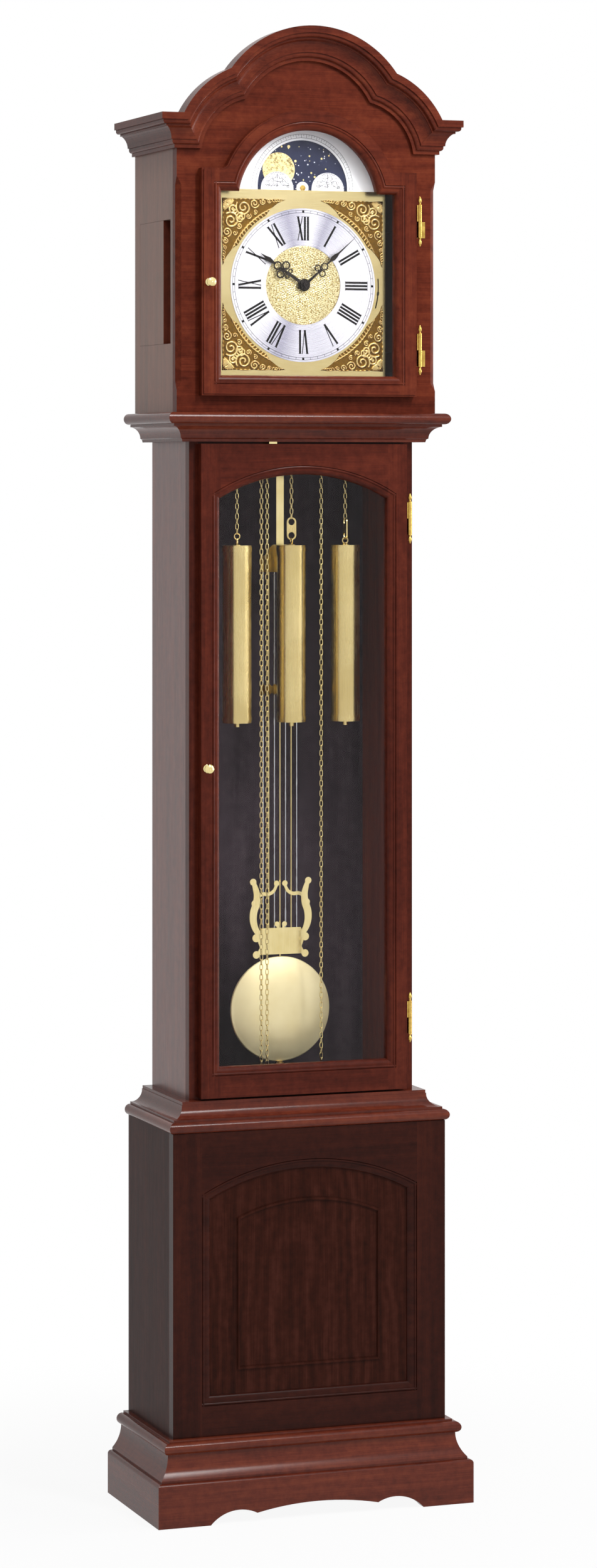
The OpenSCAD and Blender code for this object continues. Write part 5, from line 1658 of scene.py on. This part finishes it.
@dataclass
class Chain:
    """One of the three chains: links over its wheel and down to the weight, and the free side.

    weight_side is 1 where the weight hangs on the wheel's right, and -1 on its left. first and
    free_first say which links are turned a quarter: the even ones at 1 and the odd ones at 0.
    """

    side: str
    wheel_x: float
    weight_side: int
    first: int
    free_first: int
    ring_turn: float
    weight_links: int
    finishes: Finishes
    weight_y: float = -0.006
    wheel_z: float = 1.690
    wheel_links: int = 8
    pitch: float = 0.00735
    link_length: float = 0.010
    link_width: float = 0.0056
    wire: float = 0.0013
    free_links: int = 165
    free_reach: float = 1.5
    wire_sides: int = 6
    ring_sides: int = 24
    ring_radius: float = 0.0033
    ring_wire: float = 0.0007
    ring_wire_sides: int = 8
    ring_drop: float = 0.0027

    @property
    def radius(self) -> float:
        """Return the radius of the chain's line on its wheel, whose upper half the links span."""
        return self.wheel_links * self.pitch / math.pi

    def link_shape(self) -> Surface:
        """Bend one link about its middle, its length upright.

        The wire's line is two half circles joined by straights, and its round section is carried
        round it.

        Returns:
            The link.
        """
        half_turn = np.linspace(0, math.pi, 7)
        reach = (self.link_width - self.wire) / 2
        rise = (self.link_length - self.link_width) / 2
        x = np.concatenate([reach * np.cos(half_turn), -reach * np.cos(half_turn)])
        z = np.concatenate([rise + reach * np.sin(half_turn), -rise - reach * np.sin(half_turn)])
        way = np.concatenate([half_turn, half_turn + math.pi])
        path = np.stack([x, 0 * x, z], axis=1)
        side = np.stack([np.cos(way), 0 * way, np.sin(way)], axis=1)
        up = np.tile([0.0, 1.0, 0.0], (len(x), 1))
        return carried(path, side, up, round_section(self.wire / 2, self.wire_sides), True)

    def links(self, middles: np.ndarray, tilt: np.ndarray, quarter: np.ndarray) -> Surface:
        """Place links along a chain.

        Args:
            middles: the middle of each link.
            tilt: how far each link leans from the upright, about the wheel's axis.
            quarter: whether each link is turned a quarter about its own length.

        Returns:
            All the links. A link is turned about its length first, then leaned.
        """
        shape = self.link_shape()
        points, faces = shape.points, shape.faces[0]
        local = np.where(quarter[:, None, None], points[:, [1, 0, 2]], points)
        cos, sin = np.cos(tilt)[:, None], np.sin(tilt)[:, None]
        x = local[..., 0] * cos + local[..., 2] * sin
        z = -local[..., 0] * sin + local[..., 2] * cos
        placed = np.stack([x, local[..., 1], z], axis=-1) + middles[:, None]
        # Swapping two axes mirrors the shape, so a quarter-turned link has its faces reversed
        kinds = [faces[None] + len(points) * np.flatnonzero(~quarter)[:, None, None],
                 faces[None, :, ::-1] + len(points) * np.flatnonzero(quarter)[:, None, None]]
        return Surface(placed.reshape(-1, 3), [rows.reshape(-1, 4) for rows in kinds])

    def hanging(self, x: float, first: int, count: int) -> Surface:
        """Hang links in a row from the wheel's middle height.

        Args:
            x: the row's sideways place, in metres.
            first: which links are turned a quarter.
            count: how many there are.

        Returns:
            The row.
        """
        i = np.arange(1, count + 1)
        middles = np.stack([np.full(count, x), np.full(count, self.weight_y),
                            self.wheel_z - (i - 0.5) * self.pitch], axis=1)
        return self.links(middles, np.zeros(count), (i + first) % 2 == 1)

    def over_wheel(self) -> Surface:
        """Lay links over the top of the wheel, from its weight side.

        Returns:
            The links, evenly spaced over half a turn.
        """
        count = self.wheel_links
        j = np.arange(count)
        climb = np.radians((j + 0.5) * 180 / count)
        x = self.wheel_x + self.weight_side * self.radius * np.cos(climb)
        z = self.wheel_z + self.radius * np.sin(climb)
        middles = np.stack([x, np.full(count, self.weight_y), z], axis=1)
        return self.links(middles, -self.weight_side * climb, (j + self.first) % 2 == 1)

    def end_ring(self, x: float) -> Surface:
        """Bend the ring at the end of the free side, a round wire in a circle.

        Args:
            x: the free side's sideways place, in metres.

        Returns:
            The ring.
        """
        turn = full_turn(self.ring_sides)
        cos, sin = math.cos(self.ring_turn), math.sin(self.ring_turn)
        out = np.stack([np.cos(turn) * cos, np.cos(turn) * sin, np.sin(turn)], axis=1)
        axis = np.tile([-sin, cos, 0.0], (len(turn), 1))
        end = self.wheel_z - self.free_links * self.pitch - self.ring_drop
        path = np.array([x, self.weight_y, end]) + self.ring_radius * out
        section = round_section(self.ring_wire, self.ring_wire_sides)
        return carried(path, out, axis, section, True).outward()

    def build(self) -> None:
        """Build both sides of the chain, each a fixed piece from the wheel down to its end."""
        weight_x = self.wheel_x + self.weight_side * self.radius
        free_x = 2 * self.wheel_x - weight_x
        brass = self.finishes.brass_polished
        held = Surface.joined([self.over_wheel(),
                               self.hanging(weight_x, self.first, self.weight_links)])
        self.stretch(held.piece(f"round_links_{self.side}", brass), f"weight_{self.side}",
                     f"chain_{self.side}")
        loose = Surface.joined([self.hanging(free_x, self.free_first, self.free_links),
                                self.end_ring(free_x)])
        self.stretch(loose.piece(f"round_free_links_{self.side}", brass), f"free_chain_{self.side}",
                     f"free_chain_{self.side}")

    def stretch(self, piece: bpy.types.Object, body: str, node: str) -> None:
        """Bake the chain's place into its mesh, and hide the CAD node that it stands for.

        Args:
            piece: the chain.
            body: the body named in the log line.
            node: the CAD node that it stands for.
        """
        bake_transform(piece)
        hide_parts(node)
        LOG.info("%s stretches between case and %s", piece.name, body)


@dataclass
class Weights:
    """The three brass weights and their chains."""

    finishes: Finishes

    def build(self) -> None:
        """Dress the weights and build their chains."""
        dress(self.finishes.brass_brushed, "weight_left", "weight_centre", "weight_right")
        Chain("left", -0.0652, -1, 0, 1, math.pi / 2, 39, self.finishes).build()
        Chain("centre", -0.0188, 1, 1, 0, 0.0, 36, self.finishes).build()
        Chain("right", 0.0648, 1, 0, 1, math.pi / 2, 36, self.finishes).build()


@dataclass(frozen=True)
class SoftBox:
    """A lamp: its middle, the point that it faces, its width and height, and its watts."""

    name: str
    at: Spot
    aim: Spot
    size: tuple[float, float]
    power: float

    def hang(self) -> None:
        """Put the lamp in the scene, turned to the point that it faces."""
        data = bpy.data.lights.new(self.name, "AREA")
        data.shape = "RECTANGLE"
        data.size, data.size_y = self.size
        data.energy = self.power
        obj = bpy.data.objects.new(self.name, data)
        away = np.array(self.at) - np.array(self.aim)
        away /= np.linalg.norm(away)
        obj.location = self.at
        obj.rotation_euler = (math.acos(away[2]), 0.0, math.atan2(away[0], -away[1]))
        bpy.context.scene.collection.objects.link(obj)


@dataclass
class Studio:
    """Camera, floor, world and lamps."""

    camera_at: Spot = (-2.1197, -5.880, 1.4834)
    camera_turn: float = math.radians(-19.94)
    lens: float = 98.54
    sensor: float = 36.0
    shift_up: float = -0.1946
    see_to: float = 60.0
    floor_reach: float = 9.0
    room_light: float = 0.24
    # The front box stands where the mouldings' rounds mirror it to the camera
    lamps: tuple[SoftBox, ...] = (
        SoftBox("left_box", (-1.4, -2.0, 4.4), (0.0, 0.0, 1.5), (0.9, 0.9), 30),
        SoftBox("right_box", (2.9, -1.7, 2.4), (0.0, 0.0, 1.2), (1.0, 1.8), 30),
        SoftBox("edge_box", (3.1, -0.5, 1.4), (0.0, 0.0, 1.2), (0.35, 2.2), 34),
        SoftBox("front_box", (0.9, -2.4, 3.7), (0.0, 0.0, 1.3), (0.45, 1.5), 64))

    def camera(self) -> None:
        """Set the camera at the photograph's place, level, with the picture moved by its shift."""
        data = bpy.data.cameras.new("camera")
        data.lens = self.lens
        data.sensor_width = self.sensor
        data.sensor_fit = "AUTO"
        data.shift_y = self.shift_up
        data.clip_end = self.see_to
        obj = bpy.data.objects.new("camera", data)
        obj.location = self.camera_at
        obj.rotation_euler = (math.pi / 2, 0.0, self.camera_turn)
        bpy.context.scene.collection.objects.link(obj)
        bpy.context.scene.camera = obj

    def floor(self) -> None:
        """Lay a pale floor that shows white and still takes a faint shadow."""
        reach = self.floor_reach
        corners = [(-reach, -reach, 0.0), (reach, -reach, 0.0), (reach, reach, 0.0),
                   (-reach, reach, 0.0)]
        mesh = bpy.data.meshes.new("floor")
        mesh.from_pydata(corners, [], [(0, 1, 2, 3)])
        mesh.materials.append(PaleFloor("pale_floor").make())
        obj = bpy.data.objects.new("floor", mesh)
        bpy.context.scene.collection.objects.link(obj)

    def world(self) -> None:
        """Fill the room with soft light, and show it white behind the clock."""
        world = bpy.data.worlds.new("room")
        world.use_nodes = True
        tree = world.node_tree
        tree.nodes.clear()
        soft, white = (add_node(tree, "ShaderNodeBackground", {
            "Color": WHITE, "Strength": strength}).outputs[0]
            for strength in (self.room_light, 1.0))
        mixed = add_node(tree, "ShaderNodeMixShader", {0: plainly_seen(tree), 1: soft, 2: white})
        add_node(tree, "ShaderNodeOutputWorld", {"Surface": mixed.outputs[0]})
        bpy.context.scene.world = world

    def build(self) -> None:
        """Set up the whole studio."""
        bpy.context.scene.view_settings.view_transform = "Standard"
        self.camera()
        self.floor()
        self.world()
        for lamp in self.lamps:
            lamp.hang()


def main() -> None:
    """Build the clock's finishes and fine pieces in order."""
    logging.basicConfig(level=logging.INFO, format="%(message)s")
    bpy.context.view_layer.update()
    finishes = Finishes()
    assemblies = (Studio(), Casework(), Doors(finishes), DialFace(finishes), CornerOrnaments(),
                  MoonDial(finishes), Movement(finishes), Pendulum(finishes), Weights(finishes))
    for assembly in assemblies:
        assembly.build()
        LOG.info("%s done", type(assembly).__name__)


if __name__ == "__main__":
    main()
